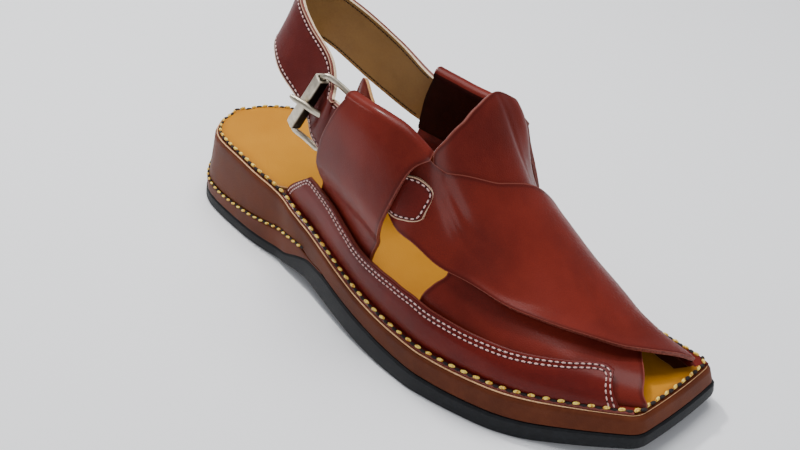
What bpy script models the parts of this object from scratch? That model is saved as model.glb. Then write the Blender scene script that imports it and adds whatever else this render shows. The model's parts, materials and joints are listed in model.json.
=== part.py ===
import bpy
import math
import numpy as np

# Named sizes, in metres. Toe is +X, the shoe's left (its inner side) is +Y, up is +Z.
LENGTH = 0.290
BALL_WIDTH = 0.105
HEEL_RIM = 0.038
INSTEP = 0.131
LEATHER = 0.0018
GAP = 0.0003
LAP_SINK = 0.0006
INSOLE = 0.0022
INSOLE_EDGE = 0.0012
TOE_TUCK = 0.0068
RIM_BORDER = 0.0085
BAND_THICK = 0.0020
BAND_PAD = 0.0011
STRAP_THICK = 0.0026
STRAP_WIDTH = 0.028
CHAPE_THICK = 0.0015
FOLD_LATERAL = 0.0022
FOLD_MEDIAL = 0.0021
FRAME_WIRE = 0.0014
ROLLER_SIDE = 0.0060
PRONG_WIRE = 0.0012

# Sole outline at its upper rim. Columns: share of LENGTH at the outer side, outer y and inner y as
# shares of BALL_WIDTH, share of LENGTH at the inner side. The first and last rows are the ends.
RIM_PLAN = [
    (0.0085, -0.062, 0.062, 0.0085),
    (0.0150, -0.120, 0.118, 0.0150),
    (0.0262, -0.160, 0.158, 0.0262),
    (0.0400, -0.200, 0.198, 0.0400),
    (0.0621, -0.242, 0.238, 0.0621),
    (0.0950, -0.275, 0.270, 0.0950),
    (0.1400, -0.302, 0.296, 0.1400),
    (0.2138, -0.330, 0.309, 0.2138),
    (0.2793, -0.339, 0.302, 0.2793),
    (0.3241, -0.365, 0.298, 0.3241),
    (0.3759, -0.390, 0.302, 0.3759),
    (0.4276, -0.424, 0.318, 0.4276),
    (0.4828, -0.460, 0.350, 0.4828),
    (0.5448, -0.495, 0.390, 0.5448),
    (0.6138, -0.519, 0.418, 0.6138),
    (0.6759, -0.528, 0.438, 0.6759),
    (0.7172, -0.517, 0.441, 0.7172),
    (0.7724, -0.490, 0.430, 0.7724),
    (0.8200, -0.455, 0.408, 0.8200),
    (0.8600, -0.403, 0.380, 0.8600),
    (0.8966, -0.342, 0.368, 0.8966),
    (0.9300, -0.282, 0.357, 0.9240),
    (0.9620, -0.222, 0.348, 0.9500),
    (0.9900, -0.168, 0.322, 0.9800),
]
RUBBER_ROUND = 0.0011
RUBBER_LIP = 0.0012
WALL_CURVE = 1.15
WALL_PROUD = 0.0004
RIM_ROUND = 0.0018
HEEL_ROWS = 15
WALL_DOWN = 0.455
RAND_LEAST = 0.0006
RAND_PROUD = 0.0009
RUBBER_PROUD = 0.0008
INSOLE_ROUND = 0.0007
INSOLE_PLAY = 0.0004
PANELS_START = 0.262
PANELS_FADE = 0.025
PANELS_END = 0.9775
TOE_FADE = 0.006
TUCK_START = 0.80
TUCK_FADE = 0.13
HEEL_BOW = 0.0030
TOE_BOW = 0.0012
SOLE_ROWS = 30
SOLE_ACROSS = 6

# Heights along the sole. Columns: share of LENGTH, then shares of HEEL_RIM for the upper rim, the top
# of the rubber, the ground line, the heel lift's thickness, then the rubber's and the wall's outset.
SOLE_SIDE = [
    (0.000, 0.958, 0.150, 0.000, 0.150, 0.190, 0.165),
    (0.060, 0.976, 0.150, 0.000, 0.155, 0.150, 0.125),
    (0.138, 1.000, 0.150, 0.000, 0.175, 0.110, 0.085),
    (0.240, 0.945, 0.150, 0.000, 0.240, 0.085, 0.055),
    (0.300, 0.870, 0.185, 0.045, 0.265, 0.070, 0.030),
    (0.355, 0.790, 0.330, 0.120, 0.165, 0.058, 0.018),
    (0.390, 0.745, 0.405, 0.142, 0.030, 0.054, 0.014),
    (0.430, 0.695, 0.422, 0.120, 0.000, 0.054, 0.014),
    (0.500, 0.605, 0.362, 0.068, 0.000, 0.056, 0.014),
    (0.580, 0.530, 0.290, 0.022, 0.000, 0.060, 0.016),
    (0.650, 0.490, 0.235, 0.000, 0.000, 0.065, 0.020),
    (0.760, 0.460, 0.200, 0.000, 0.000, 0.075, 0.028),
    (0.850, 0.458, 0.200, 0.000, 0.000, 0.085, 0.038),
    (0.930, 0.480, 0.250, 0.065, 0.000, 0.085, 0.045),
    (1.000, 0.520, 0.320, 0.160, 0.000, 0.090, 0.050),
]

# The last above the rim. Columns: share of LENGTH, ridge height as a share of INSTEP, roundness of
# the section, ridge position across as a share of BALL_WIDTH.
LAST_ROWS = [
    (0.290, 0.975, 2.63, -0.062),
    (0.380, 1.000, 2.62, -0.064),
    (0.450, 1.000, 2.61, -0.066),
    (0.517, 0.977, 2.60, -0.067),
    (0.559, 0.940, 2.47, -0.064),
    (0.603, 0.832, 2.33, -0.058),
    (0.638, 0.685, 2.22, -0.053),
    (0.672, 0.570, 2.10, -0.049),
    (0.707, 0.500, 2.04, -0.040),
    (0.759, 0.401, 2.01, -0.020),
    (0.810, 0.332, 1.98, 0.000),
    (0.862, 0.271, 1.95, 0.019),
    (0.914, 0.222, 1.93, 0.045),
    (0.983, 0.200, 1.90, 0.072),
    (1.010, 0.196, 1.90, 0.077),
]

# The two crossing panels. Columns: toe-side edge as share of LENGTH and turn, heel-side edge the
# same. Turn is -1 at the outer rim, 0 on the ridge and +1 at the inner rim.
PANEL_OVER = [
    (0.9500, 1.000, 0.690, 1.000),
    (0.9560, 0.850, 0.686, 0.800),
    (0.9690, 0.620, 0.682, 0.620),
    (0.9590, 0.380, 0.676, 0.450),
    (0.9440, 0.163, 0.671, 0.310),
    (0.9150, -0.074, 0.6685, 0.190),
    (0.8817, -0.198, 0.6660, 0.080),
    (0.8490, -0.295, 0.6610, -0.025),
    (0.8130, -0.379, 0.6530, -0.110),
    (0.7755, -0.451, 0.6440, -0.190),
    (0.7310, -0.506, 0.6350, -0.265),
    (0.6860, -0.576, 0.6260, -0.335),
    (0.6380, -0.660, 0.6180, -0.372),
    (0.5900, -0.740, 0.6130, -0.390),
    (0.5170, -0.665, 0.6100, -0.398),
    (0.4466, -0.534, 0.6086, -0.404),
]
PANEL_UNDER = [
    (0.9540, -1.000, 0.655, -1.000),
    (0.9600, -0.880, 0.659, -0.821),
    (0.9660, -0.640, 0.671, -0.705),
    (0.9560, -0.350, 0.683, -0.600),
    (0.9330, -0.060, 0.676, -0.520),
    (0.9080, 0.150, 0.650, -0.458),
    (0.8750, 0.255, 0.622, -0.418),
    (0.8420, 0.320, 0.6085, -0.360),
    (0.8070, 0.385, 0.6110, -0.250),
    (0.7720, 0.440, 0.6110, -0.130),
    (0.7340, 0.500, 0.6072, -0.026),
    (0.6960, 0.560, 0.6003, 0.083),
    (0.6550, 0.630, 0.5941, 0.189),
    (0.6070, 0.710, 0.5905, 0.290),
    (0.5450, 0.780, 0.5880, 0.400),
    (0.4650, 0.832, 0.5870, 0.480),
    (0.3920, 0.835, 0.5865, 0.530),
    (0.4060, 0.725, 0.5860, 0.560),
    (0.4283, 0.612, 0.5860, 0.585),
]

# How the under panel leaves the last. Columns: height, share and turn of the centre, and its widths.
CONE_RELIEF = [
    (0.0040, 0.595, 0.45, 0.035, 0.12),
    (-0.0040, 0.660, 0.50, 0.050, 0.22),
]

# The leg that hangs outside each fold. Columns: share of the way down, rear edge as share of LENGTH
# and turn, front edge the same, share of the fold's outset left.
LEG_OUTER = [
    (0.00, 0.4500, 0.538, 0.6086, 0.404, 1.00),
    (0.18, 0.4475, 0.616, 0.5995, 0.500, 1.05),
    (0.40, 0.4232, 0.722, 0.5940, 0.620, 1.03),
    (0.58, 0.4010, 0.806, 0.5845, 0.735, 0.92),
    (0.71, 0.3880, 0.858, 0.5720, 0.815, 0.52),
    (0.80, 0.3770, 0.892, 0.5600, 0.868, 0.08),
    (0.88, 0.3670, 0.925, 0.5470, 0.915, 0.00),
    (1.00, 0.3480, 1.000, 0.5300, 1.000, 0.00),
]
LEG_INNER = [
    (0.00, 0.4283, 0.612, 0.5860, 0.585, 1.00),
    (0.18, 0.4140, 0.680, 0.5890, 0.650, 1.00),
    (0.40, 0.3960, 0.765, 0.5980, 0.715, 1.00),
    (0.58, 0.3810, 0.835, 0.6080, 0.780, 0.95),
    (0.71, 0.3790, 0.872, 0.6140, 0.840, 0.55),
    (0.80, 0.3720, 0.893, 0.6110, 0.878, 0.08),
    (0.88, 0.3660, 0.925, 0.6060, 0.920, 0.00),
    (1.00, 0.3550, 1.000, 0.5920, 1.000, 0.00),
]

# The raised band along the rim. Columns: lower edge as share of LENGTH, upper edge the same, turn of
# the upper edge.
EDGE_BAND = [
    (0.3000, 0.3610, 0.903),
    (0.3900, 0.4300, 0.905),
    (0.4700, 0.4800, 0.917),
    (0.5200, 0.5230, 0.927),
    (0.5750, 0.5750, 0.907),
    (0.6200, 0.6200, 0.868),
    (0.6620, 0.6620, 0.812),
    (0.7150, 0.7150, 0.770),
    (0.7645, 0.7645, 0.724),
    (0.8070, 0.8070, 0.678),
    (0.8480, 0.8430, 0.606),
    (0.8860, 0.8730, 0.520),
    (0.9150, 0.8940, 0.430),
    (0.9370, 0.9090, 0.395),
    (0.9560, 0.9230, 0.430),
]

BAND_ROWS = 26
BAND_GAP = 0.0012
BAND_INNER_ROWS = 8

# Heel strap outside the two folds: centre line as shares of LENGTH, BALL_WIDTH and INSTEP, then lean.
STRAP_LOOP = [
    (0.316, 0.202, 0.697, -0.05),
    (0.250, 0.084, 0.824, -0.29),
    (0.220, -0.056, 0.893, 0.10),
    (0.238, -0.179, 0.881, 0.60),
    (0.288, -0.258, 0.830, 0.43),
    (0.349, -0.294, 0.771, 0.31),
    (0.378, -0.319, 0.714, 0.25),
    (0.4035, -0.3705, 0.683, 0.125),
    (0.4220, -0.368, 0.657, 0.04),
]
# Heel strap inside the folds: share of LENGTH, turn at the upper and at the lower edge, outset.
STRAP_INNER_TUNNEL = [
    (0.5500, 0.5400, 0.690, 0.805, 0.0037),
    (0.4850, 0.4600, 0.660, 0.815, 0.0037),
    (0.4180, 0.3830, 0.632, 0.818, 0.0037),
]
STRAP_OUTER_TUNNEL = [
    (0.4720, 0.4370, -0.585, -0.750, 0.0048),
    (0.5100, 0.4900, -0.570, -0.745, 0.0047),
    (0.5600, 0.5520, -0.572, -0.725, 0.0047),
    (0.5880, 0.5919, -0.554, -0.700, 0.0047),
    (0.6080, 0.6110, -0.493, -0.655, 0.0047),
    (0.6240, 0.6230, -0.452, -0.605, 0.0047),
    (0.6285, 0.6295, -0.480, -0.560, 0.0047),
]

# Buckle: centre of the roller, the way along it and the way to the bar.
BUCKLE_CENTRE = (0.366, -0.365, 0.712)
BUCKLE_UP = (0.50, 0.10, 0.86)
BUCKLE_FORWARD = (0.86, 0.34, -0.42)
BUCKLE_REACH = 0.0165
CHAPE_WIDTH = 0.017
# The prong's hook round the bar, from the bar's centre, in shares of the two wires' radii together.
PRONG_HOOK = [
    (0.967, -0.200),
    (0.733, -0.733),
    (0.000, -1.033),
    (-0.733, -0.733),
    (-1.033, -0.100),
]
# The prong's arm. Columns: share of the reach from the roller to the bar, outward, up along the roller.
PRONG_ARM = [
    (0.739, 0.0014, 0.0012),
    (0.558, 0.0032, 0.0018),
    (0.303, 0.0044, 0.0018),
    (0.000, 0.0046, 0.0013),
    (-0.220, 0.0042, 0.0002),
    (-0.420, 0.0034, -0.0010),
]
# The chape's two ends, in the same columns as the strap inside the folds.
CHAPE_OUTER = [
    (0.4700, 0.4600, -0.640, -0.740, 0.0014),
    (0.4480, 0.4330, -0.635, -0.755, 0.0014),
]
CHAPE_INNER = [
    (0.4330, 0.4300, -0.500, -0.775, -0.0042),
    (0.4480, 0.4450, -0.456, -0.780, -0.0030),
    (0.4780, 0.4700, -0.500, -0.780, -0.0018),
    (0.5050, 0.4900, -0.540, -0.760, -0.0016),
]
BUCKLE_HALF = 0.0185
FRAME_CORNER = 0.0030
FRAME_BOW = -0.0008
ROLLER_CLEAR = 0.0014
ROLLER_PLAY = 0.0004
SLOT_PLAY = 0.0007
PRONG_TIP = (0.9, 0.6)


def clear_scene():
    for old in list(bpy.data.objects):
        bpy.data.objects.remove(old, do_unlink=True)


def column(table, at, col, key=0):
    """Smooth value of one table column, monotone between rows."""
    x = np.array([row[key] for row in table], float)
    y = np.array([row[col] for row in table], float)
    if x[0] > x[-1]:
        x = x[::-1]
        y = y[::-1]
    at = np.clip(np.asarray(at, float), x[0], x[-1])
    step = np.diff(x)
    rise = np.diff(y) / step
    slope = np.zeros(len(x))
    slope[0] = rise[0]
    slope[-1] = rise[-1]
    for i in range(1, len(x) - 1):
        if rise[i - 1] * rise[i] > 0:
            a = 2 * step[i] + step[i - 1]
            b = step[i] + 2 * step[i - 1]
            slope[i] = (a + b) / (a / rise[i - 1] + b / rise[i])
    k = np.clip(np.searchsorted(x, at, side="right") - 1, 0, len(x) - 2)
    t = (at - x[k]) / step[k]
    low = (1 + 2 * t) * (1 - t) ** 2 * y[k] + t * (1 - t) ** 2 * step[k] * slope[k]
    high = t * t * (3 - 2 * t) * y[k + 1] + t * t * (t - 1) * step[k] * slope[k + 1]
    return low + high


def along(table, count):
    """Table resampled evenly by row number, every column smooth."""
    last = len(table) - 1
    rows = [(i,) + tuple(row) for i, row in enumerate(table)]
    at = np.linspace(0, last, count)
    return np.stack([column(rows, at, c + 1) for c in range(len(table[0]))], axis=1)


def unit(v):
    v = np.asarray(v, float)
    return v / (np.linalg.norm(v, axis=-1, keepdims=True) + 1e-12)


def make_object(name, points, faces, look, group):
    mesh = bpy.data.meshes.new(name)
    mesh.from_pydata([tuple(p) for p in points], [], faces)
    mesh.update()
    volume = 0.0
    for face in faces:
        first = points[face[0]]
        for i in range(1, len(face) - 1):
            volume += float(np.dot(first, np.cross(points[face[i]], points[face[i + 1]])))
    if volume < 0:
        mesh.flip_normals()
    obj = bpy.data.objects.new(name, mesh)
    group.objects.link(obj)
    obj.data.materials.append(look)
    for poly in mesh.polygons:
        poly.use_smooth = True
    return obj


def sheet_solid(name, face_a, face_b, look, group):
    """Closed solid between two grids of the same shape."""
    rows, cols = face_a.shape[:2]
    points = list(face_a.reshape(-1, 3)) + list(face_b.reshape(-1, 3))
    size = rows * cols
    faces = []
    for i in range(rows - 1):
        for j in range(cols - 1):
            a = i * cols + j
            faces.append((a, a + 1, a + cols + 1, a + cols))
            faces.append((size + a, size + a + cols, size + a + cols + 1, size + a + 1))
    ring = [j for j in range(cols)]
    ring += [i * cols + cols - 1 for i in range(1, rows)]
    ring += [(rows - 1) * cols + j for j in range(cols - 2, -1, -1)]
    ring += [i * cols for i in range(rows - 2, 0, -1)]
    for k, a in enumerate(ring):
        b = ring[(k + 1) % len(ring)]
        faces.append((b, a, size + a, size + b))
    return make_object(name, points, faces, look, group)


def rim_line(side, share):
    """Rim y at a share of LENGTH for side -1 (outer) or +1 (inner)."""
    if side < 0:
        return BALL_WIDTH * column(RIM_PLAN, share, 1, key=0)
    return BALL_WIDTH * column(RIM_PLAN, share, 2, key=3)


def rim_height(share):
    return HEEL_RIM * column(SOLE_SIDE, share, 1)


def plan_grid(outset, rows=SOLE_ROWS, across=SOLE_ACROSS, start=0.0, stop=1.0):
    """Plan points of the sole, rows by across, moved outward by outset (a function of share)."""
    count = len(RIM_PLAN) - 1
    index = [(i,) + tuple(row) for i, row in enumerate(RIM_PLAN)]
    at = np.linspace(start * count, stop * count, rows)
    outer = np.stack([LENGTH * column(index, at, 1), BALL_WIDTH * column(index, at, 2)], axis=1)
    inner = np.stack([LENGTH * column(index, at, 4), BALL_WIDTH * column(index, at, 3)], axis=1)
    w = np.linspace(0, 1, across + 1)
    bow = 1 - (2 * w - 1) ** 2
    heel = outer[0] + (inner[0] - outer[0]) * w[:, None] - np.array([HEEL_BOW, 0]) * bow[:, None]
    toe = outer[-1] + (inner[-1] - outer[-1]) * w[:, None] + np.array([TOE_BOW, 0]) * bow[:, None]
    loop = np.concatenate([outer, toe[1:-1], inner[::-1], heel[-2:0:-1]])
    share = np.clip(loop[:, 0] / LENGTH, 0, 1)
    if stop == 1.0:
        share[rows - 1:rows + across] = 1.0
    back = unit(loop - np.roll(loop, 1, axis=0))
    ahead = unit(np.roll(loop, -1, axis=0) - loop)
    way = unit(back + ahead)
    normal = np.stack([way[:, 1], -way[:, 0]], axis=1)
    spread = 1 / np.clip(np.sum(way * ahead, axis=1), 0.75, 1)
    loop = loop + normal * (outset(share) * spread)[:, None]
    grid = np.zeros((rows, across + 1, 2))
    outer = loop[:rows]
    toe = loop[rows:rows + across - 1]
    inner = loop[rows + across - 1:2 * rows + across - 1][::-1]
    heel = loop[2 * rows + across - 1:][::-1]
    for i in range(rows):
        grid[i] = outer[i] + (inner[i] - outer[i]) * w[:, None]
    heel_bend = heel - grid[0, 1:-1]
    toe_bend = toe - grid[-1, 1:-1]
    for i in range(rows):
        grid[i, 1:-1] += heel_bend * max(0.0, 1 - i / 5) ** 2
        grid[i, 1:-1] += toe_bend * max(0.0, 1 - (rows - 1 - i) / 5) ** 2
    return grid


def border(grid):
    """Closed loop of a grid's border points."""
    return np.concatenate([grid[:, 0], grid[-1, 1:-1], grid[::-1, -1], grid[0, -2:0:-1]])


def slab_solid(name, levels, look, group):
    """Closed solid through several levels, each a grid of 3-D points; the ends are capped."""
    rows, cols = levels[0].shape[:2]
    size = rows * cols
    points = list(levels[0].reshape(-1, 3)) + list(levels[-1].reshape(-1, 3))
    index = np.arange(size).reshape(rows, cols)
    low = border(index[..., None])[:, 0]
    rings = [low]
    for level in levels[1:-1]:
        ring = border(level)
        rings.append(np.arange(len(points), len(points) + len(ring)))
        points += list(ring)
    rings.append(low + size)
    faces = []
    for i in range(rows - 1):
        for j in range(cols - 1):
            a = i * cols + j
            faces.append((a, a + 1, a + cols + 1, a + cols))
            faces.append((size + a, size + a + cols, size + a + cols + 1, size + a + 1))
    for lower, upper in zip(rings[:-1], rings[1:]):
        for k in range(len(lower)):
            n = (k + 1) % len(lower)
            faces.append((int(lower[k]), int(lower[n]), int(upper[n]), int(upper[k])))
    return make_object(name, points, faces, look, group)


def level(outset, height, **span):
    """One level of a slab: plan grid at an outset, with a height for each share of LENGTH."""
    grid = plan_grid(outset, **span)
    share = np.clip(grid[..., 0] / LENGTH, 0, 1)
    return np.concatenate([grid, height(share)[..., None]], axis=-1)


def side(col):
    return lambda s: HEEL_RIM * column(SOLE_SIDE, s, col)


def build_sole(looks, group):
    ground = side(3)
    rubber_top = side(2)
    rubber_out = side(5)
    wall_out = side(6)
    lift = side(4)
    rim = side(1)
    slab_solid("outsole", [
        level(lambda s: rubber_out(s) - RUBBER_ROUND, ground),
        level(rubber_out, lambda s: ground(s) + RUBBER_ROUND),
        level(lambda s: rubber_out(s) - RUBBER_LIP / 3, lambda s: rubber_top(s) - RUBBER_LIP * 2 / 3),
        level(lambda s: rubber_out(s) - RUBBER_LIP, rubber_top),
    ], looks["rubber"], group)

    def wall_at(s, z):
        """Outset of the wall at a height: full at the rubber, nothing at the rim."""
        rise = np.clip((z - rubber_top(s)) / (rim(s) - rubber_top(s)), 0, 1)
        return wall_out(s) * (1 - rise) ** WALL_CURVE + WALL_PROUD

    def rand_foot(s):
        return rubber_top(s) + GAP

    def rand_top(s):
        return rand_foot(s) + np.maximum(lift(s), RAND_LEAST)

    def rand_level(rise, proud):
        def height(s):
            return rand_foot(s) + (rand_top(s) - rand_foot(s)) * rise

        def outset(s):
            return np.minimum(rubber_out(s) - RUBBER_PROUD, wall_at(s, height(s)) + proud)

        return level(outset, height, rows=HEEL_ROWS, stop=(HEEL_ROWS - 1) / (SOLE_ROWS - 1))

    slab_solid("heel_rand", [
        rand_level(0.0, RAND_PROUD),
        rand_level(0.6, RAND_PROUD),
        rand_level(0.9, RAND_PROUD * 0.7),
        rand_level(1.0, 0.0),
    ], looks["rand"], group)

    def wall_foot(s):
        under = np.where(s < WALL_DOWN, np.maximum(lift(s), RAND_LEAST) + GAP, 0)
        return rand_foot(s) + under

    def wall_level(rise):
        def height(s):
            return wall_foot(s) + (rim(s) - RIM_ROUND - wall_foot(s)) * rise

        return level(lambda s: wall_at(s, height(s)), height)

    slab_solid("midsole", [
        wall_level(0.0),
        wall_level(0.35),
        wall_level(0.7),
        wall_level(1.0),
        level(lambda s: 0 * s - RIM_ROUND * 0.3, lambda s: rim(s) - RIM_ROUND * 0.3),
        level(lambda s: 0 * s - RIM_ROUND, rim),
    ], looks["wall"], group)


def insole_inset(s):
    """How far the insole stays inside the rim: close at heel and toe, clear of the upper between."""
    rise = np.clip((s - PANELS_START) / PANELS_FADE, 0, 1)
    fall = np.clip((PANELS_END - s) / TOE_FADE, 0, 1)
    tuck = TOE_TUCK * np.clip((s - TUCK_START) / TUCK_FADE, 0, 1)
    full = RIM_BORDER + INSOLE_PLAY + tuck
    return -(INSOLE_EDGE + (full - INSOLE_EDGE) * np.minimum(rise, fall))


def build_insole(looks, group):
    rim = side(1)
    slab_solid("insole", [
        level(insole_inset, lambda s: rim(s) + GAP),
        level(insole_inset, lambda s: rim(s) + GAP + 0.6 * INSOLE),
        level(lambda s: insole_inset(s) - INSOLE_ROUND, lambda s: rim(s) + GAP + INSOLE),
    ], looks["tan"], group)


def last_base(share, turn):
    round_n = column(LAST_ROWS, share, 2)
    ridge = BALL_WIDTH * column(LAST_ROWS, share, 3)
    outer = ridge - (rim_line(-1, share) + RIM_BORDER)
    inner = rim_line(1, share) - RIM_BORDER - ridge
    half = np.where(turn < 0, outer, inner)
    low = rim_height(share) + GAP
    high = INSTEP * column(LAST_ROWS, share, 1) - low
    across = np.abs(np.sin(turn * np.pi / 2)) ** (2 / round_n)
    up = np.clip(np.cos(turn * np.pi / 2), 0, 1) ** (2 / round_n)
    return np.stack([LENGTH * share, ridge + np.sign(turn) * half * across, low + high * up], axis=-1)


def last_normal(share, turn):
    share = np.asarray(share, float)
    turn = np.asarray(turn, float)
    d_share = 0.002
    d_turn = 0.012
    ds = last_base(share + d_share, turn) - last_base(share - d_share, turn)
    dt = last_base(share, np.clip(turn + d_turn, -1, 1)) - last_base(share, np.clip(turn - d_turn, -1, 1))
    normal = unit(np.cross(ds, dt))
    flat = normal * np.array([1.0, 1.0, 0.0])
    near = np.clip((np.abs(turn) - 0.90) / 0.10, 0, 1)[..., None]
    return unit(normal * (1 - near) + unit(flat) * near)


def on_last(share, turn, outset=0.0):
    share = np.asarray(share, float)
    turn = np.asarray(turn, float)
    return last_base(share, turn) + last_normal(share, turn) * np.asarray(outset, float)[..., None]


def no_relief(share, turn):
    return 0.0 * share


def cone_relief(share, turn):
    """The under panel's own shape: a full, upright cone at the crossing and a hollow in front of it."""
    out = 0.0 * share
    for height, s0, t0, s_wide, t_wide in CONE_RELIEF:
        out = out + height * np.exp(-((share - s0) / s_wide) ** 2 - ((turn - t0) / t_wide) ** 2)
    return out


def panel_faces(table, leg, fold_radius, lift, relief, cols, rows, leg_rows):
    """Foot-side and far-side grids of one panel: over the vamp, round its fold and down its leg."""
    edge = along(table, rows)
    w = np.linspace(0, 1, cols)
    share = edge[:, 0:1] + (edge[:, 2:3] - edge[:, 0:1]) * w
    turn = edge[:, 1:2] + (edge[:, 3:4] - edge[:, 1:2]) * w
    sign = np.sign(table[-1][1])
    bend = np.sin(np.pi * w) * np.linspace(0, 1, rows)[:, None] ** 3
    turn = turn + sign * 0.022 * bend
    start_side = np.sign(table[0][1])
    drop = np.clip((start_side * turn - 0.59) / 0.15, 0, 1)
    base = lift * (1 - drop * drop * (3 - 2 * drop)) + relief(share, turn)
    foot = on_last(share, turn, base)
    far = on_last(share, turn, base + LEATHER)
    s_end = share[-1]
    t_end = turn[-1]
    normal = last_normal(s_end, t_end)
    rise = unit(on_last(s_end, t_end - sign * 0.01) - on_last(s_end, t_end + sign * 0.01))
    centre = on_last(s_end, t_end, base[-1] + LEATHER + fold_radius)
    foot_rows = [foot]
    far_rows = [far]
    for beta in np.linspace(0, np.pi, 8)[1:-1]:
        way = -math.cos(beta) * normal + math.sin(beta) * rise
        foot_rows.append((centre + (fold_radius + LEATHER) * way)[None])
        far_rows.append((centre + fold_radius * way)[None])
    down = np.linspace(0, 1, leg_rows)[:, None]
    r_share = column(leg, down, 1)
    r_turn = column(leg, down, 2)
    f_share = column(leg, down, 3)
    f_turn = column(leg, down, 4)
    share = r_share + (f_share - r_share) * w
    turn = sign * (r_turn + (f_turn - r_turn) * w + 0.022 * np.sin(np.pi * w) * (1 - down) ** 2)
    top = lift + LEATHER + 2 * fold_radius
    left = column(leg, down, 5)
    out = top * left + 0.0 * w
    foot_rows.append(on_last(share, turn, out + LEATHER))
    far_rows.append(on_last(share, turn, out))
    return np.concatenate(foot_rows), np.concatenate(far_rows)


def join(target, other):
    mod = target.modifiers.new("join", "BOOLEAN")
    mod.operation = "UNION"
    mod.solver = "EXACT"
    mod.object = other
    bake(target)
    bpy.data.objects.remove(other, do_unlink=True)


def cut(target, other):
    other.hide_render = True
    other.display_type = "WIRE"
    mod = target.modifiers.new("cut", "BOOLEAN")
    mod.operation = "DIFFERENCE"
    mod.solver = "EXACT"
    mod.object = other
    bake(target)
    bpy.data.objects.remove(other, do_unlink=True)


def bake(obj):
    graph = bpy.context.evaluated_depsgraph_get()
    mesh = bpy.data.meshes.new_from_object(obj.evaluated_get(graph))
    obj.modifiers.clear()
    obj.data = mesh


def build_upper(looks, group):
    over = panel_faces(PANEL_OVER, LEG_OUTER, FOLD_LATERAL, LEATHER - LAP_SINK, no_relief, 11, 30, 9)
    under = panel_faces(PANEL_UNDER, LEG_INNER, FOLD_MEDIAL, 0.0, cone_relief, 13, 34, 9)
    upper = sheet_solid("upper", over[0], over[1], looks["upper"], group)
    lower = sheet_solid("under_panel", under[0], under[1], looks["upper"], group)
    join(upper, lower)


def build_band(name, sign, looks, group):
    edge = along(EDGE_BAND if sign < 0 else EDGE_BAND[:BAND_INNER_ROWS], BAND_ROWS)
    w = np.array([0.0, 0.25, 0.55, 0.82, 0.93, 1.0])
    pad = np.array([0.10, 0.35, 0.45, 1.0, 0.65, 0.0])
    share = edge[:, 0:1] + (edge[:, 1:2] - edge[:, 0:1]) * w
    turn = sign * (1 + (edge[:, 2:3] - 1) * w)
    inside = LEATHER + BAND_GAP + 0 * share
    ends = np.clip(np.minimum(np.arange(BAND_ROWS), np.arange(BAND_ROWS)[::-1]) / 1.5, 0, 1)[:, None]
    outside = inside + BAND_THICK + BAND_PAD * pad * ends
    sheet_solid(name, on_last(share, turn, inside), on_last(share, turn, outside), looks["band"], group)


def strap_rows():
    """Rows of the heel strap's middle surface, five points across, from the inner fold to the tab."""
    w = np.linspace(0, 1, 5)
    rows = [tunnel_row(row, w) for row in STRAP_INNER_TUNNEL]
    size = np.array([LENGTH, BALL_WIDTH, INSTEP])
    loop = np.array([row[:3] for row in STRAP_LOOP]) * size
    ahead = tunnel_row(STRAP_OUTER_TUNNEL[0], w)
    path = np.concatenate([[rows[-1].mean(axis=0)], loop, [ahead.mean(axis=0)]])
    for i, row in enumerate(STRAP_LOOP, start=1):
        way = unit(path[i + 1] - path[i - 1])
        lean = np.array([0.0, row[3], 1.0])
        up = unit(lean - way * np.dot(lean, way))
        rows.append(path[i] + up * (STRAP_WIDTH * (0.5 - w))[:, None])
    rows += [tunnel_row(row, w) for row in STRAP_OUTER_TUNNEL]
    return np.array(rows)


def tunnel_row(row, w):
    share = row[0] + (row[1] - row[0]) * w
    turn = row[2] + (row[3] - row[2]) * w
    return on_last(share, turn, row[4] + 0 * w)


def spline_rows(rows, each):
    """Catmull-Rom rows through the given rows, a few steps between each pair."""
    rows = np.asarray(rows)
    pad = np.concatenate([[2 * rows[0] - rows[1]], rows, [2 * rows[-1] - rows[-2]]])
    out = []
    for i in range(1, len(pad) - 2):
        p0, p1, p2, p3 = pad[i - 1], pad[i], pad[i + 1], pad[i + 2]
        for t in np.arange(each) / each:
            out.append(0.5 * (2 * p1 + (p2 - p0) * t + (2 * p0 - 5 * p1 + 4 * p2 - p3) * t * t
                              + (3 * p1 - p0 - 3 * p2 + p3) * t ** 3))
    out.append(pad[-2])
    return np.array(out)


def ribbon_faces(rows, thick):
    """Two faces of a ribbon about its middle rows."""
    way = np.gradient(rows, axis=0)
    over = np.gradient(rows, axis=1)
    normal = unit(np.cross(way, over))
    return rows + normal * thick / 2, rows - normal * thick / 2


def buckle_frame_axes():
    up = unit(BUCKLE_UP)
    forward = unit(np.array(BUCKLE_FORWARD) - up * np.dot(BUCKLE_FORWARD, up))
    out = unit(np.cross(up, forward))
    if out[1] > 0:
        out = -out
    centre = np.array([LENGTH * BUCKLE_CENTRE[0], BALL_WIDTH * BUCKLE_CENTRE[1], INSTEP * BUCKLE_CENTRE[2]])
    return centre, up, forward, out


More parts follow.
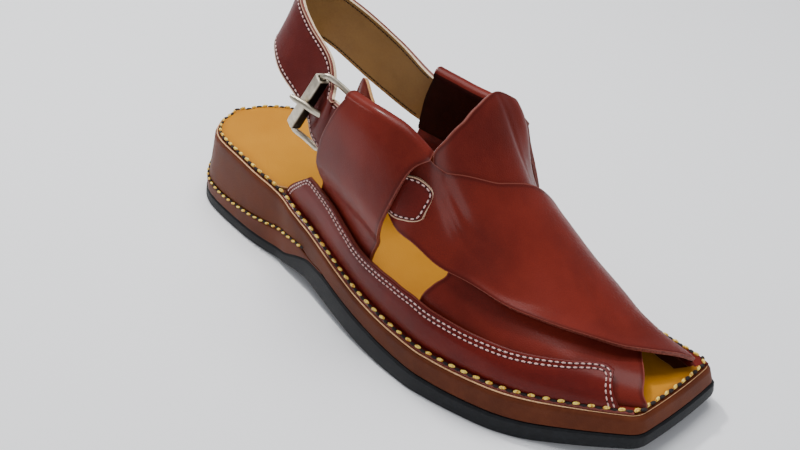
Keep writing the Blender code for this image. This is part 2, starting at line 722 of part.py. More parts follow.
def tube(name, path, radius, look, group, sides=8, closed=False, square=0.0):
    """Closed tube along a path; radius may vary; square flattens its section."""
    path = np.asarray(path)
    count = len(path)
    radius = np.broadcast_to(np.asarray(radius, float), (count,))
    if closed:
        way = unit(np.roll(path, -1, axis=0) - np.roll(path, 1, axis=0))
    else:
        way = unit(np.gradient(path, axis=0))
    guide = buckle_frame_axes()[3]
    points = []
    for i in range(count):
        a = unit(guide - way[i] * np.dot(guide, way[i]))
        b = np.cross(way[i], a)
        for k in range(sides):
            angle = 2 * math.pi * (k + 0.5) / sides
            c, s = math.cos(angle), math.sin(angle)
            grow = 1 + square * (1 / max(abs(c), abs(s)) - 1)
            points.append(path[i] + radius[i] * grow * (c * a + s * b))
    faces = []
    steps = count if closed else count - 1
    for i in range(steps):
        n = (i + 1) % count
        for k in range(sides):
            m = (k + 1) % sides
            faces.append((i * sides + k, i * sides + m, n * sides + m, n * sides + k))
    if not closed:
        faces.append(tuple(range(sides))[::-1])
        faces.append(tuple((count - 1) * sides + k for k in range(sides)))
    return make_object(name, points, faces, look, group)


def build_buckle(looks, group, cutters):
    centre, up, forward, out = buckle_frame_axes()
    corner = FRAME_CORNER
    path = []
    half = BUCKLE_HALF
    reach = BUCKLE_REACH
    for sx, sy, a0 in ((1, 1, 0), (0, 1, 90), (0, -1, 180), (1, -1, 270)):
        mid_f = reach - corner if sx else corner
        mid_u = sy * (half - corner)
        for a in (0, 30, 60, 90):
            ang = math.radians(a0 + a)
            f = mid_f + corner * math.cos(ang)
            u = mid_u + corner * math.sin(ang)
            bulge = FRAME_BOW * math.sin(math.pi * min(max(f / reach, 0), 1))
            path.append(centre + forward * f + up * u + out * bulge)
        if (sx, sy) in ((1, 1), (0, -1)):
            for share in (0.33, 0.67):
                f0 = reach - corner if sx else corner
                f1 = corner if sx else reach - corner
                f = f0 + (f1 - f0) * share
                bulge = FRAME_BOW * math.sin(math.pi * f / reach)
                path.append(centre + forward * f + up * sy * half + out * bulge)
    tube("buckle_frame", path, FRAME_WIRE, looks["metal"], group, closed=True)
    span = half - FRAME_WIRE - ROLLER_CLEAR
    ends = [centre + up * span * s for s in (-1, -0.94, 0.94, 1)]
    roller = tube("buckle_roller", ends, [ROLLER_SIDE * 0.44, ROLLER_SIDE / 2, ROLLER_SIDE / 2,
                                        ROLLER_SIDE * 0.44], looks["metal"], group, sides=16, square=0.55)
    bore = tube("roller_bore", [centre - up * half * 2, centre + up * half * 2], FRAME_WIRE + ROLLER_PLAY,
                looks["metal"], cutters, sides=12)
    cut(roller, bore)


def prong_path():
    centre, up, forward, out = buckle_frame_axes()
    bar = centre + forward * BUCKLE_REACH
    wires = FRAME_WIRE + PRONG_WIRE + GAP
    hook = [bar + wires * (forward * f + out * o) for f, o in PRONG_HOOK]
    arm = [centre + forward * BUCKLE_REACH * f + out * o + up * u for f, o, u in PRONG_ARM]
    return np.array(hook + arm)


def build_strap(looks, group, cutters):
    dense = spline_rows(strap_rows(), 3)
    face_a, face_b = ribbon_faces(dense, STRAP_THICK)
    strap = sheet_solid("heel_strap", face_a, face_b, looks["strap"], group)
    slot = tube("strap_slot", prong_path()[4:9], PRONG_WIRE + SLOT_PLAY, looks["metal"], cutters, sides=10)
    cut(strap, slot)


def build_chape(looks, group, cutters):
    """Short strap wrapped on the buckle's bar, its wide end behind the outer panel."""
    centre, up, forward, out = buckle_frame_axes()
    w = np.linspace(0, 1, 5)
    bar = centre + forward * BUCKLE_REACH
    rows = [tunnel_row(row, w) for row in CHAPE_OUTER]
    turn_radius = FRAME_WIRE + 2 * GAP + CHAPE_THICK / 2
    for angle in (80, 125, 180, 235, 280):
        a = math.radians(angle)
        spot = bar + turn_radius * (math.cos(a) * forward + math.sin(a) * out)
        rows.append(spot + up * (CHAPE_WIDTH * (0.5 - w))[:, None])
    rows += [tunnel_row(row, w) for row in CHAPE_INNER]
    dense = spline_rows(rows, 2)
    face_a, face_b = ribbon_faces(dense, CHAPE_THICK)
    chape = sheet_solid("buckle_chape", face_a, face_b, looks["strap"], group)
    slot = tube("chape_slot", prong_path()[:7], PRONG_WIRE + SLOT_PLAY, looks["metal"], cutters, sides=10)
    cut(chape, slot)


def build_prong(looks, group):
    path = prong_path()
    taper = np.ones(len(path))
    taper[-2:] = PRONG_TIP
    tube("buckle_prong", path, PRONG_WIRE * taper, looks["metal"], group)


def look(name, colour, rough, metal=0.0):
    mat = bpy.data.materials.new(name)
    mat.use_nodes = True
    shader = mat.node_tree.nodes["Principled BSDF"]
    shader.inputs["Base Color"].default_value = (*colour, 1)
    shader.inputs["Roughness"].default_value = rough
    shader.inputs["Metallic"].default_value = metal
    return mat


def centre_part(group):
    """Put the origin at the middle of the bounding box, at the floor."""
    points = np.array([v.co[:] for obj in group.objects for v in obj.data.vertices])
    low = points.min(axis=0)
    high = points.max(axis=0)
    shift = -np.array([(low[0] + high[0]) / 2, (low[1] + high[1]) / 2, low[2]])
    for obj in group.objects:
        for v in obj.data.vertices:
            v.co = [float(c) for c in np.array(v.co[:]) + shift]
        obj.data.update()


def main():
    clear_scene()
    group = bpy.data.collections.new("peshawari_chappal")
    bpy.context.scene.collection.children.link(group)
    cutters = bpy.data.collections.new("cutters")
    bpy.context.scene.collection.children.link(cutters)
    looks = {
        "rubber": look("rubber_black", (0.02, 0.02, 0.022), 0.7),
        "rand": look("rand_leather", (0.16, 0.06, 0.04), 0.5),
        "wall": look("wall_leather", (0.20, 0.08, 0.06), 0.45),
        "tan": look("insole_leather", (0.62, 0.42, 0.16), 0.5),
        "upper": look("upper_leather", (0.26, 0.045, 0.035), 0.35),
        "band": look("band_leather", (0.24, 0.04, 0.032), 0.35),
        "strap": look("strap_leather", (0.26, 0.045, 0.035), 0.4),
        "metal": look("buckle_metal", (0.55, 0.52, 0.47), 0.3, 1.0),
    }
    build_sole(looks, group)
    build_insole(looks, group)
    build_upper(looks, group)
    build_band("edge_band_outer", -1, looks, group)
    build_band("edge_band_inner", 1, looks, group)
    build_strap(looks, group, cutters)
    build_chape(looks, group, cutters)
    build_buckle(looks, group, cutters)
    build_prong(looks, group)
    centre_part(group)


main()
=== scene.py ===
# %% [markdown]
# # A leather chappal in cells
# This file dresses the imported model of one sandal. The first cell loads that model as a fixed frame:
# its solids never move, and every finer piece made below stands exactly where one of them is.

# %% Load the frame
import bpy
import json
import math
import numpy as np
from mathutils import Matrix, Vector


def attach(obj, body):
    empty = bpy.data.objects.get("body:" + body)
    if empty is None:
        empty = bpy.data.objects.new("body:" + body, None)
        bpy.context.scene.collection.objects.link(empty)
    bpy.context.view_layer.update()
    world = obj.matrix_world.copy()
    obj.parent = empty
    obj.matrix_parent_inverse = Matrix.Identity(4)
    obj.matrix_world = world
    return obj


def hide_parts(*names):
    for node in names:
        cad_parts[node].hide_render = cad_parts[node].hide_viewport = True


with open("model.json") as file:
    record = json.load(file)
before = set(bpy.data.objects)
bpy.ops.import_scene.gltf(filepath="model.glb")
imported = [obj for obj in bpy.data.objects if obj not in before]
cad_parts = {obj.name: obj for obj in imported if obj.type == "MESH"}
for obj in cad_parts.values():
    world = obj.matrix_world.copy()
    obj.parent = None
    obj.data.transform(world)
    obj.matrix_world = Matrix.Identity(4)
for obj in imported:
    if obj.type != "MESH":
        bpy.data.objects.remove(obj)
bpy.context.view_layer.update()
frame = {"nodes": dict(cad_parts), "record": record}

print("solids loaded:", sorted(frame["nodes"]))

# %% [markdown]
# A shoe is drawn in shares of a few sizes, as a pattern cutter does: the length of the insole, the
# width at the ball, the height of the heel's rim and the height of the instep. The tables repeat the
# ones that the solids were built from, so that the fine pieces and the solids share every curve.

# %% The shoe's own sizes
# Driving sizes, in metres: insole length, width at the ball, rim height at the heel, instep height.
LENGTH = 0.290
BALL_WIDTH = 0.105
HEEL_RIM = 0.038
INSTEP = 0.131
# Thicknesses, clearances and widths of the upper, the strap and the chape.
LEATHER = 0.0018
GAP = 0.0003
LAP_SINK = 0.0006
FOLD_LATERAL = 0.0022
FOLD_MEDIAL = 0.0021
BAND_GAP = 0.0012
STRAP_THICK = 0.0026
STRAP_WIDTH = 0.028
CHAPE_THICK = 0.0015
CHAPE_WIDTH = 0.017
# The sole: bows of its two ends, borders of the insole and the upper, roundness and proudness.
HEEL_BOW = 0.0030
TOE_BOW = 0.0012
TOE_CORNER = 0.0042
TOE_TUCK = 0.0068
INSOLE_EDGE = 0.0012
INSOLE_SHOWN = 0.0010
RIM_BORDER = 0.0085
RIM_ROUND = 0.0018
WALL_PROUD = 0.0004
WALL_CURVE = 1.15
RAND_LEAST = 0.0006
# Shares along: where the heel strip fades, and where the wall comes down to the rubber behind it.
RAND_FADE, RAND_FADE_OVER = 0.400, 0.06
WALL_DOWN, WALL_DOWN_OVER = 0.430, 0.02
# How far through the rows of the outline the heel strip runs.
HEEL_END = 0.4827

# Sole outline at the rim: share along and y at the outer side, then y and share along at the inner.
RIM_PLAN = [
    (0.0085, -0.062, 0.062, 0.0085), (0.0150, -0.120, 0.118, 0.0150),
    (0.0262, -0.160, 0.158, 0.0262), (0.0400, -0.200, 0.198, 0.0400),
    (0.0621, -0.242, 0.238, 0.0621), (0.0950, -0.275, 0.270, 0.0950),
    (0.1400, -0.302, 0.296, 0.1400), (0.2138, -0.330, 0.309, 0.2138),
    (0.2793, -0.339, 0.302, 0.2793), (0.3241, -0.365, 0.298, 0.3241),
    (0.3759, -0.390, 0.302, 0.3759), (0.4276, -0.424, 0.318, 0.4276),
    (0.4828, -0.460, 0.350, 0.4828), (0.5448, -0.495, 0.390, 0.5448),
    (0.6138, -0.519, 0.418, 0.6138), (0.6759, -0.528, 0.438, 0.6759),
    (0.7172, -0.517, 0.441, 0.7172), (0.7724, -0.490, 0.430, 0.7724),
    (0.8200, -0.455, 0.408, 0.8200), (0.8600, -0.403, 0.380, 0.8600),
    (0.8966, -0.342, 0.368, 0.8966), (0.9300, -0.282, 0.357, 0.9240),
    (0.9620, -0.222, 0.348, 0.9500), (0.9900, -0.168, 0.322, 0.9800),
]
# Side view: share along, then rim, top of rubber, ground, heel lift, rubber's outset, wall's outset.
SOLE_SIDE = [
    (0.000, 0.958, 0.150, 0.000, 0.150, 0.190, 0.165), (0.060, 0.976, 0.150, 0.000, 0.155, 0.150, 0.125),
    (0.138, 1.000, 0.150, 0.000, 0.175, 0.110, 0.085), (0.240, 0.945, 0.150, 0.000, 0.240, 0.085, 0.055),
    (0.300, 0.870, 0.185, 0.045, 0.265, 0.070, 0.030), (0.355, 0.790, 0.330, 0.120, 0.165, 0.058, 0.018),
    (0.390, 0.745, 0.405, 0.142, 0.030, 0.054, 0.014), (0.430, 0.695, 0.422, 0.120, 0.000, 0.054, 0.014),
    (0.500, 0.605, 0.362, 0.068, 0.000, 0.056, 0.014), (0.580, 0.530, 0.290, 0.022, 0.000, 0.060, 0.016),
    (0.650, 0.490, 0.235, 0.000, 0.000, 0.065, 0.020), (0.760, 0.460, 0.200, 0.000, 0.000, 0.075, 0.028),
    (0.850, 0.458, 0.200, 0.000, 0.000, 0.085, 0.038), (0.930, 0.480, 0.250, 0.065, 0.000, 0.085, 0.045),
    (1.000, 0.520, 0.320, 0.160, 0.000, 0.090, 0.050),
]
# The foot form above the rim: share along, ridge height, roundness of the section, ridge across.
LAST_ROWS = [
    (0.290, 0.975, 2.63, -0.062), (0.380, 1.000, 2.62, -0.064), (0.450, 1.000, 2.61, -0.066),
    (0.517, 0.977, 2.60, -0.067), (0.559, 0.940, 2.47, -0.064), (0.603, 0.832, 2.33, -0.058),
    (0.638, 0.685, 2.22, -0.053), (0.672, 0.570, 2.10, -0.049), (0.707, 0.500, 2.04, -0.040),
    (0.759, 0.401, 2.01, -0.020), (0.810, 0.332, 1.98, 0.000), (0.862, 0.271, 1.95, 0.019),
    (0.914, 0.222, 1.93, 0.045), (0.983, 0.200, 1.90, 0.072), (1.010, 0.196, 1.90, 0.077),
]
# The two crossing panels: toe-side edge as share along and turn over the foot, heel-side edge the same.
PANEL_OVER = [
    (0.9500, 1.000, 0.690, 1.000), (0.9560, 0.850, 0.686, 0.800), (0.9690, 0.620, 0.682, 0.620),
    (0.9590, 0.380, 0.676, 0.450), (0.9440, 0.163, 0.671, 0.310), (0.9150, -0.074, 0.6685, 0.190),
    (0.8817, -0.198, 0.6660, 0.080), (0.8490, -0.295, 0.6610, -0.025), (0.8130, -0.379, 0.6530, -0.110),
    (0.7755, -0.451, 0.6440, -0.190), (0.7310, -0.506, 0.6350, -0.265), (0.6860, -0.576, 0.6260, -0.335),
    (0.6380, -0.660, 0.6180, -0.372), (0.5900, -0.740, 0.6130, -0.390), (0.5170, -0.665, 0.6100, -0.398),
    (0.4640, -0.530, 0.6086, -0.404),
]
PANEL_UNDER = [
    (0.9830, -1.000, 0.655, -1.000), (0.9830, -0.880, 0.659, -0.821), (0.9720, -0.640, 0.671, -0.705),
    (0.9580, -0.350, 0.683, -0.600), (0.9330, -0.060, 0.676, -0.520), (0.9080, 0.150, 0.650, -0.458),
    (0.8750, 0.255, 0.622, -0.418), (0.8420, 0.320, 0.6085, -0.360), (0.8070, 0.385, 0.6110, -0.250),
    (0.7720, 0.440, 0.6110, -0.130), (0.7340, 0.500, 0.6072, -0.026), (0.6960, 0.560, 0.6003, 0.083),
    (0.6550, 0.630, 0.5941, 0.189), (0.6070, 0.710, 0.5905, 0.290), (0.5450, 0.780, 0.5880, 0.400),
    (0.4650, 0.832, 0.5870, 0.480), (0.3920, 0.835, 0.5865, 0.530), (0.4060, 0.725, 0.5860, 0.560),
    (0.4283, 0.612, 0.5860, 0.585),
]
# The legs outside the folds: share of the way down, rear edge, front edge, share of the outset left.
LEG_OUTER = [
    (0.00, 0.4640, 0.532, 0.6086, 0.404, 1.00), (0.18, 0.4470, 0.612, 0.5995, 0.500, 1.10),
    (0.40, 0.4220, 0.718, 0.5940, 0.620, 1.04), (0.58, 0.4090, 0.802, 0.5845, 0.735, 0.92),
    (0.71, 0.4040, 0.854, 0.5720, 0.815, 0.52), (0.80, 0.3950, 0.890, 0.5600, 0.868, 0.08),
    (0.88, 0.3850, 0.925, 0.5470, 0.915, 0.00), (1.00, 0.3700, 1.000, 0.5300, 1.000, 0.00),
]
LEG_INNER = [
    (0.00, 0.4283, 0.612, 0.5860, 0.585, 1.00), (0.18, 0.4140, 0.680, 0.5890, 0.650, 1.00),
    (0.40, 0.3960, 0.765, 0.5980, 0.715, 1.00), (0.58, 0.3810, 0.835, 0.6080, 0.780, 0.95),
    (0.71, 0.3790, 0.872, 0.6140, 0.840, 0.55), (0.80, 0.3720, 0.893, 0.6110, 0.878, 0.08),
    (0.88, 0.3660, 0.925, 0.6060, 0.920, 0.00), (1.00, 0.3550, 1.000, 0.5920, 1.000, 0.00),
]
# The raised bands: lower edge, upper edge as shares along, and the turn of the upper edge.
EDGE_BAND = [
    (0.2840, 0.3640, 0.903), (0.3850, 0.4310, 0.905), (0.4700, 0.4800, 0.917), (0.5200, 0.5230, 0.927),
    (0.5750, 0.5750, 0.907), (0.6200, 0.6200, 0.868), (0.6620, 0.6620, 0.812), (0.7150, 0.7150, 0.770),
    (0.7645, 0.7645, 0.724), (0.8070, 0.8070, 0.678), (0.8480, 0.8430, 0.606), (0.8860, 0.8730, 0.520),
    (0.9150, 0.8940, 0.430), (0.9370, 0.9090, 0.395), (0.9560, 0.9230, 0.430),
]
# The heel strap: its loop (x, y, z as shares, lean), then its two ends inside the folded leather.
STRAP_LOOP = [
    (0.316, 0.202, 0.697, -0.05), (0.250, 0.084, 0.824, -0.29), (0.220, -0.056, 0.893, 0.10),
    (0.238, -0.179, 0.881, 0.60), (0.288, -0.258, 0.830, 0.43), (0.349, -0.294, 0.771, 0.31),
    (0.378, -0.319, 0.714, 0.25), (0.4035, -0.3705, 0.683, 0.125), (0.4220, -0.368, 0.657, 0.04),
]
STRAP_INNER_TUNNEL = [
    (0.5500, 0.5400, 0.690, 0.805, 0.0037), (0.4850, 0.4600, 0.660, 0.815, 0.0037),
    (0.4180, 0.3830, 0.632, 0.818, 0.0037),
]
STRAP_OUTER_TUNNEL = [
    (0.4720, 0.4370, -0.585, -0.750, 0.0048), (0.5100, 0.4900, -0.570, -0.745, 0.0047),
    (0.5600, 0.5520, -0.572, -0.725, 0.0047), (0.5880, 0.5919, -0.554, -0.700, 0.0047),
    (0.6080, 0.6110, -0.493, -0.655, 0.0047), (0.6240, 0.6230, -0.452, -0.605, 0.0047),
    (0.6285, 0.6295, -0.480, -0.560, 0.0047),
]
print("tables:", len(RIM_PLAN), "plan rows,", len(PANEL_OVER) + len(PANEL_UNDER), "panel rows")

# %% [markdown]
# Between two rows of a table the value follows a smooth curve that never overshoots. The slope at each
# row is the harmonic mean of its two neighbours, the usual recipe for a curve without false bumps.

# %% Smooth values from a table
def column(table, at, col, key=0):
    x = np.array([row[key] for row in table], float)
    y = np.array([row[col] for row in table], float)
    at = np.clip(np.asarray(at, float), x[0], x[-1])
    step = np.diff(x)
    rise = np.diff(y) / step
    slope = np.zeros(len(x))
    slope[0], slope[-1] = rise[0], rise[-1]
    for i in range(1, len(x) - 1):
        if rise[i - 1] * rise[i] > 0:
            a, b = 2 * step[i] + step[i - 1], step[i] + 2 * step[i - 1]
            slope[i] = (a + b) / (a / rise[i - 1] + b / rise[i])
    k = np.clip(np.searchsorted(x, at, side="right") - 1, 0, len(x) - 2)
    t = (at - x[k]) / step[k]
    low = (1 + 2 * t) * (1 - t) ** 2 * y[k] + t * (1 - t) ** 2 * step[k] * slope[k]
    return low + t * t * (3 - 2 * t) * y[k + 1] + t * t * (t - 1) * step[k] * slope[k + 1]


def along(table, count, last=None):
    rows = [(i,) + tuple(row) for i, row in enumerate(table)]
    at = np.linspace(0, len(table) - 1 if last is None else last, count)
    return np.stack([column(rows, at, c + 1) for c in range(len(table[0]))], axis=1)


def unit(v):
    v = np.asarray(v, float)
    return v / (np.linalg.norm(v, axis=-1, keepdims=True) + 1e-12)


def lengths(points, axis=0):
    """Running length of a line of points, or of every line of a grid along one axis."""
    steps = np.linalg.norm(np.diff(points, axis=axis), axis=-1)
    nothing = np.zeros_like(steps.take([0], axis=axis))
    return np.concatenate([nothing, np.cumsum(steps, axis=axis)], axis=axis)


def rim_line(sign, share):
    return BALL_WIDTH * (column(RIM_PLAN, share, 1) if sign < 0 else column(RIM_PLAN, share, 2, key=3))


def side(col):
    return lambda s: HEEL_RIM * column(SOLE_SIDE, s, col)


rim_height = side(1)
print("rim height at the heel, ball and toe, mm:", (rim_height(np.array([0.1, 0.65, 1])) * 1000).round(1))

# %% [markdown]
# The sole is a grid of points in plan, wrapped to the outline. An outset moves its border outwards, so
# one function gives the rubber, the wall and the insole at every height.

# %% The sole in plan
def eased(loop, at, radius):
    """Rounds one corner of a closed loop with a quadratic curve."""
    half = len(loop) // 2
    turned = np.roll(loop, half - at, axis=0)
    run = lengths(turned)
    run = run - run[half]
    a, c, b = [np.array([np.interp(r, run, turned[:, k]) for k in (0, 1)]) for r in (-radius, 0, radius)]
    near = np.abs(run) < radius
    u = (run[near, None] + radius) / (2 * radius)
    turned[near] = (1 - u) ** 2 * a + 2 * u * (1 - u) * c + u ** 2 * b
    return np.roll(turned, at - half, axis=0)


def plan_grid(outset, rows, across, stop=1.0, corner=0.0):
    index = [(i,) + tuple(row) for i, row in enumerate(RIM_PLAN)]
    at = np.linspace(0, stop * (len(RIM_PLAN) - 1), rows)
    outer = np.stack([LENGTH * column(index, at, 1), BALL_WIDTH * column(index, at, 2)], axis=1)
    inner = np.stack([LENGTH * column(index, at, 4), BALL_WIDTH * column(index, at, 3)], axis=1)
    w = np.linspace(0, 1, across + 1)
    bow = 1 - (2 * w - 1) ** 2
    heel = outer[0] + (inner[0] - outer[0]) * w[:, None] - np.array([HEEL_BOW, 0]) * bow[:, None]
    toe = outer[-1] + (inner[-1] - outer[-1]) * w[:, None] + np.array([TOE_BOW, 0]) * bow[:, None]
    loop = np.concatenate([outer, toe[1:-1], inner[::-1], heel[-2:0:-1]])
    share = np.clip(loop[:, 0] / LENGTH, 0, 1)
    if stop == 1.0:
        share[rows - 1:rows + across] = 1.0
    back = unit(loop - np.roll(loop, 1, axis=0))
    ahead = unit(np.roll(loop, -1, axis=0) - loop)
    way = unit(back + ahead)
    normal = np.stack([way[:, 1], -way[:, 0]], axis=1)
    spread = 1 / np.clip(np.sum(way * ahead, axis=1), 0.75, 1)
    loop = loop + normal * (outset(share) * spread)[:, None]
    if corner and stop == 1.0:
        loop = eased(eased(loop, rows - 1, corner), rows + across - 1, corner)
    outer, toe = loop[:rows], loop[rows:rows + across - 1]
    inner = loop[rows + across - 1:2 * rows + across - 1][::-1]
    heel = loop[2 * rows + across - 1:][::-1]
    grid = outer[:, None] + (inner - outer)[:, None] * w[None, :, None]
    fade = max(5, rows // 6)
    heel_bend, toe_bend = heel - grid[0, 1:-1], toe - grid[-1, 1:-1]
    for i in range(rows):
        grid[i, 1:-1] += heel_bend * max(0.0, 1 - i / fade) ** 2
        grid[i, 1:-1] += toe_bend * max(0.0, 1 - (rows - 1 - i) / fade) ** 2
    return grid


def level(outset, height, rows=220, across=30, stop=1.0):
    grid = plan_grid(outset, rows, across, stop, TOE_CORNER)
    share = np.clip(grid[..., 0] / LENGTH, 0, 1)
    return np.concatenate([grid, height(share)[..., None]], axis=-1)


def border(grid):
    return np.concatenate([grid[:, 0], grid[-1, 1:-1], grid[::-1, -1], grid[0, -2:0:-1]])


rubber_out, wall_out, rubber_top, ground, lift = side(5), side(6), side(2), side(3), side(4)
cad_plan = plan_grid(rubber_out, 30, 6).reshape(-1, 2)
low_xy, high_xy = cad_plan.min(axis=0), cad_plan.max(axis=0)
ORIGIN = np.array([(low_xy[0] + high_xy[0]) / 2, (low_xy[1] + high_xy[1]) / 2, 0.0])
print("the frame's origin in the shoe's own axes, mm:", (ORIGIN * 1000).round(2))

# %% [markdown]
# Leather is pulled over a wooden form called a last. Here the last is a formula: a share along the foot
# and a turn over it, from -1 at the outer rim through 0 on the ridge to +1 at the inner rim. Every
# strap, edge and stitch of the upper is then placed by those two numbers and an outset.

# %% The last
def last_base(share, turn):
    n = column(LAST_ROWS, share, 2)
    ridge = BALL_WIDTH * column(LAST_ROWS, share, 3)
    outer = ridge - (rim_line(-1, share) + RIM_BORDER)
    inner = rim_line(1, share) - RIM_BORDER - ridge
    low = rim_height(share) + GAP
    high = INSTEP * column(LAST_ROWS, share, 1) - low
    across = np.abs(np.sin(turn * np.pi / 2)) ** (2 / n)
    up = np.clip(np.cos(turn * np.pi / 2), 0, 1) ** (2 / n)
    return np.stack([LENGTH * share, ridge + np.sign(turn) * np.where(turn < 0, outer, inner) * across,
                     low + high * up], axis=-1)


def last_normal(share, turn):
    share, turn = np.broadcast_arrays(np.asarray(share, float), np.asarray(turn, float))
    ds = last_base(share + 0.002, turn) - last_base(share - 0.002, turn)
    dt = last_base(share, np.clip(turn + 0.012, -1, 1)) - last_base(share, np.clip(turn - 0.012, -1, 1))
    normal = unit(np.cross(ds, dt))
    near = np.clip((np.abs(turn) - 0.90) / 0.10, 0, 1)[..., None]
    return unit(normal * (1 - near) + unit(normal * np.array([1.0, 1.0, 0.0])) * near)


def on_last(share, turn, outset=0.0):
    share, turn = np.broadcast_arrays(np.asarray(share, float), np.asarray(turn, float))
    return last_base(share, turn) + last_normal(share, turn) * np.asarray(outset, float)[..., None]


print("instep point, mm:", (on_last(0.45, 0.0) * 1000).round(1))

# %% [markdown]
# The camera repeats the photograph's view. Its angles and distance were solved from the outline of the
# sole, so the picture lines up; the shoe itself stands flat on the floor.

# %% Camera
CAMERA_AZIMUTH, CAMERA_ELEVATION, CAMERA_ROLL = math.radians(45.91), math.radians(30.74), math.radians(3.01)
CAMERA_DISTANCE, FOCAL_PIXELS, PICTURE_WIDTH, SENSOR_WIDTH = 0.66683, 1322.79, 800, 36
CAMERA_TARGET = Vector((0.10116, 0.02653, 0.00385)) - Vector(ORIGIN)
back = Vector((math.sin(CAMERA_AZIMUTH) * math.cos(CAMERA_ELEVATION),
               -math.cos(CAMERA_AZIMUTH) * math.cos(CAMERA_ELEVATION), math.sin(CAMERA_ELEVATION)))
level_right = (-back).cross(Vector((0, 0, 1))).normalized()
level_up = level_right.cross(-back)
right = math.cos(CAMERA_ROLL) * level_right + math.sin(CAMERA_ROLL) * level_up
up = math.cos(CAMERA_ROLL) * level_up - math.sin(CAMERA_ROLL) * level_right
bpy.ops.object.camera_add()
camera = bpy.context.object
camera.name = "photo_camera"
camera.matrix_world = Matrix((right, up, back)).transposed().to_4x4()
camera.location = CAMERA_TARGET + back * CAMERA_DISTANCE
camera.data.sensor_width = SENSOR_WIDTH
camera.data.lens = FOCAL_PIXELS / PICTURE_WIDTH * SENSOR_WIDTH
camera.data.clip_start = 0.01
bpy.context.scene.camera = camera
print("lens, mm:", round(camera.data.lens, 2), "at", [round(c, 3) for c in camera.location])

# %% [markdown]
# Studio light: one broad soft panel above and a little behind, a small key light high behind the heel,
# a weak one from the camera's left and a fill from the toe. Waxed leather shows the shape of its lights:
# the broad one gives a soft sheen, and the small ones a crisp line along each fold.

# %% Floor and lights
def nothing_selected():
    if bpy.context.object and bpy.context.object.mode != "OBJECT":
        bpy.ops.object.mode_set(mode="OBJECT")
    bpy.ops.object.select_all(action="DESELECT")


def soft_light(name, place, aim, size, power, tint=(1, 1, 1)):
    nothing_selected()
    bpy.ops.object.light_add(type="AREA", location=place)
    lamp = bpy.context.object
    lamp.name = name
    lamp.rotation_euler = (Vector(aim) - Vector(place)).to_track_quat("-Z", "Y").to_euler()
    lamp.data.shape = "RECTANGLE"
    lamp.data.size, lamp.data.size_y = size
    lamp.data.energy = power
    lamp.data.color = tint
    return lamp


nothing_selected()
bpy.ops.mesh.primitive_plane_add(size=6, location=(0, 0, 0))
floor = bpy.context.object
floor.name = "studio_floor"
soft_light("top_panel", (-0.20, 0.16, 1.08), (0, 0, 0.04), (0.9, 0.7), 10.5)
soft_light("key_light", (-0.62, 0.08, 1.05), (-0.06, 0, 0.05), (0.10, 0.10), 8, (1.0, 0.99, 0.97))
soft_light("left_panel", (-0.94, -0.56, 0.52), (-0.02, 0, 0.08), (0.16, 0.16), 1.0)
soft_light("toe_fill", (1.0, -0.45, 0.50), (0.05, 0, 0.03), (0.6, 0.4), 3.0, (0.97, 0.98, 1.0))
world = bpy.data.worlds.new("studio")
bpy.context.scene.world = world
world.use_nodes = True
world.node_tree.nodes["Background"].inputs["Color"].default_value = (0.86, 0.88, 0.93, 1)
world.node_tree.nodes["Background"].inputs["Strength"].default_value = 0.36

# %% [markdown]
# Shader maths reads better as a formula than as a pile of nodes. Wire wraps one socket and turns +, -
# and * into Math nodes; Board holds a material and adds any other node through one method.

# %% Writing materials as formulas
class Wire:
    def __init__(self, board, socket):
        self.board, self.socket = board, socket

    def math(self, operation, other=0.0, flipped=False):
        first, second = (other, self) if flipped else (self, other)
        return self.board.node("ShaderNodeMath", {"operation": operation}, {0: first, 1: second})

    def __add__(self, other):
        return self.math("ADD", other)

    def __sub__(self, other):
        return self.math("SUBTRACT", other)

    def __rsub__(self, other):
        return self.math("SUBTRACT", other, flipped=True)

    def __mul__(self, other):
        return self.math("MULTIPLY", other)

    __radd__, __rmul__ = __add__, __mul__

    def step(self, low, high):
        """0 below low, 1 above high, smooth between."""
        return self.board.node("ShaderNodeMapRange", {"interpolation_type": "SMOOTHSTEP"},
                               {"Value": self, "From Min": low, "From Max": high})


class Board:
    def __init__(self, name):
        self.material = bpy.data.materials.new(name)
        self.material.use_nodes = True
        self.tree = self.material.node_tree
        self.shader = self.tree.nodes["Principled BSDF"]

    def plug(self, socket, value):
        if isinstance(value, Wire):
            self.tree.links.new(value.socket, socket)
        else:
            socket.default_value = value

    def node(self, kind, settings=None, sockets=None, out=0):
        made = self.tree.nodes.new(kind)
        for key, value in (settings or {}).items():
            setattr(made, key, value)
        for key, value in (sockets or {}).items():
            self.plug(made.inputs[key], value)
        return Wire(self, made.outputs[out])

    def place(self):
        return self.node("ShaderNodeTexCoord", out="Object")

    def noise(self, scale, detail=2.0, rough=0.5, stretch=None):
        where = self.place()
        if stretch:
            where = self.node("ShaderNodeMapping", None, {"Vector": where, "Scale": stretch})
        return self.node("ShaderNodeTexNoise", None,
                         {"Vector": where, "Scale": scale, "Detail": detail, "Roughness": rough})

    def cells(self, scale):
        return self.node("ShaderNodeTexVoronoi", {"feature": "DISTANCE_TO_EDGE"},
                         {"Vector": self.place(), "Scale": scale})

    def marked(self, name):
        """A number stored on the piece's own points."""
        return self.node("ShaderNodeAttribute", {"attribute_name": name}, out="Fac")

    def mix(self, factor, first, second):
        return self.node("ShaderNodeMix", {"data_type": "RGBA"}, {0: factor, 6: first, 7: second}, out=2)

    def finish(self, bump=None, depth=0.0002, **inputs):
        for name, value in inputs.items():
            self.plug(self.shader.inputs[name.replace("_", " ")], value)
        if bump is not None:
            normal = self.node("ShaderNodeBump", None,
                               {"Height": bump, "Distance": depth, "Strength": 1.0})
            self.plug(self.shader.inputs["Normal"], normal)
        return self.material


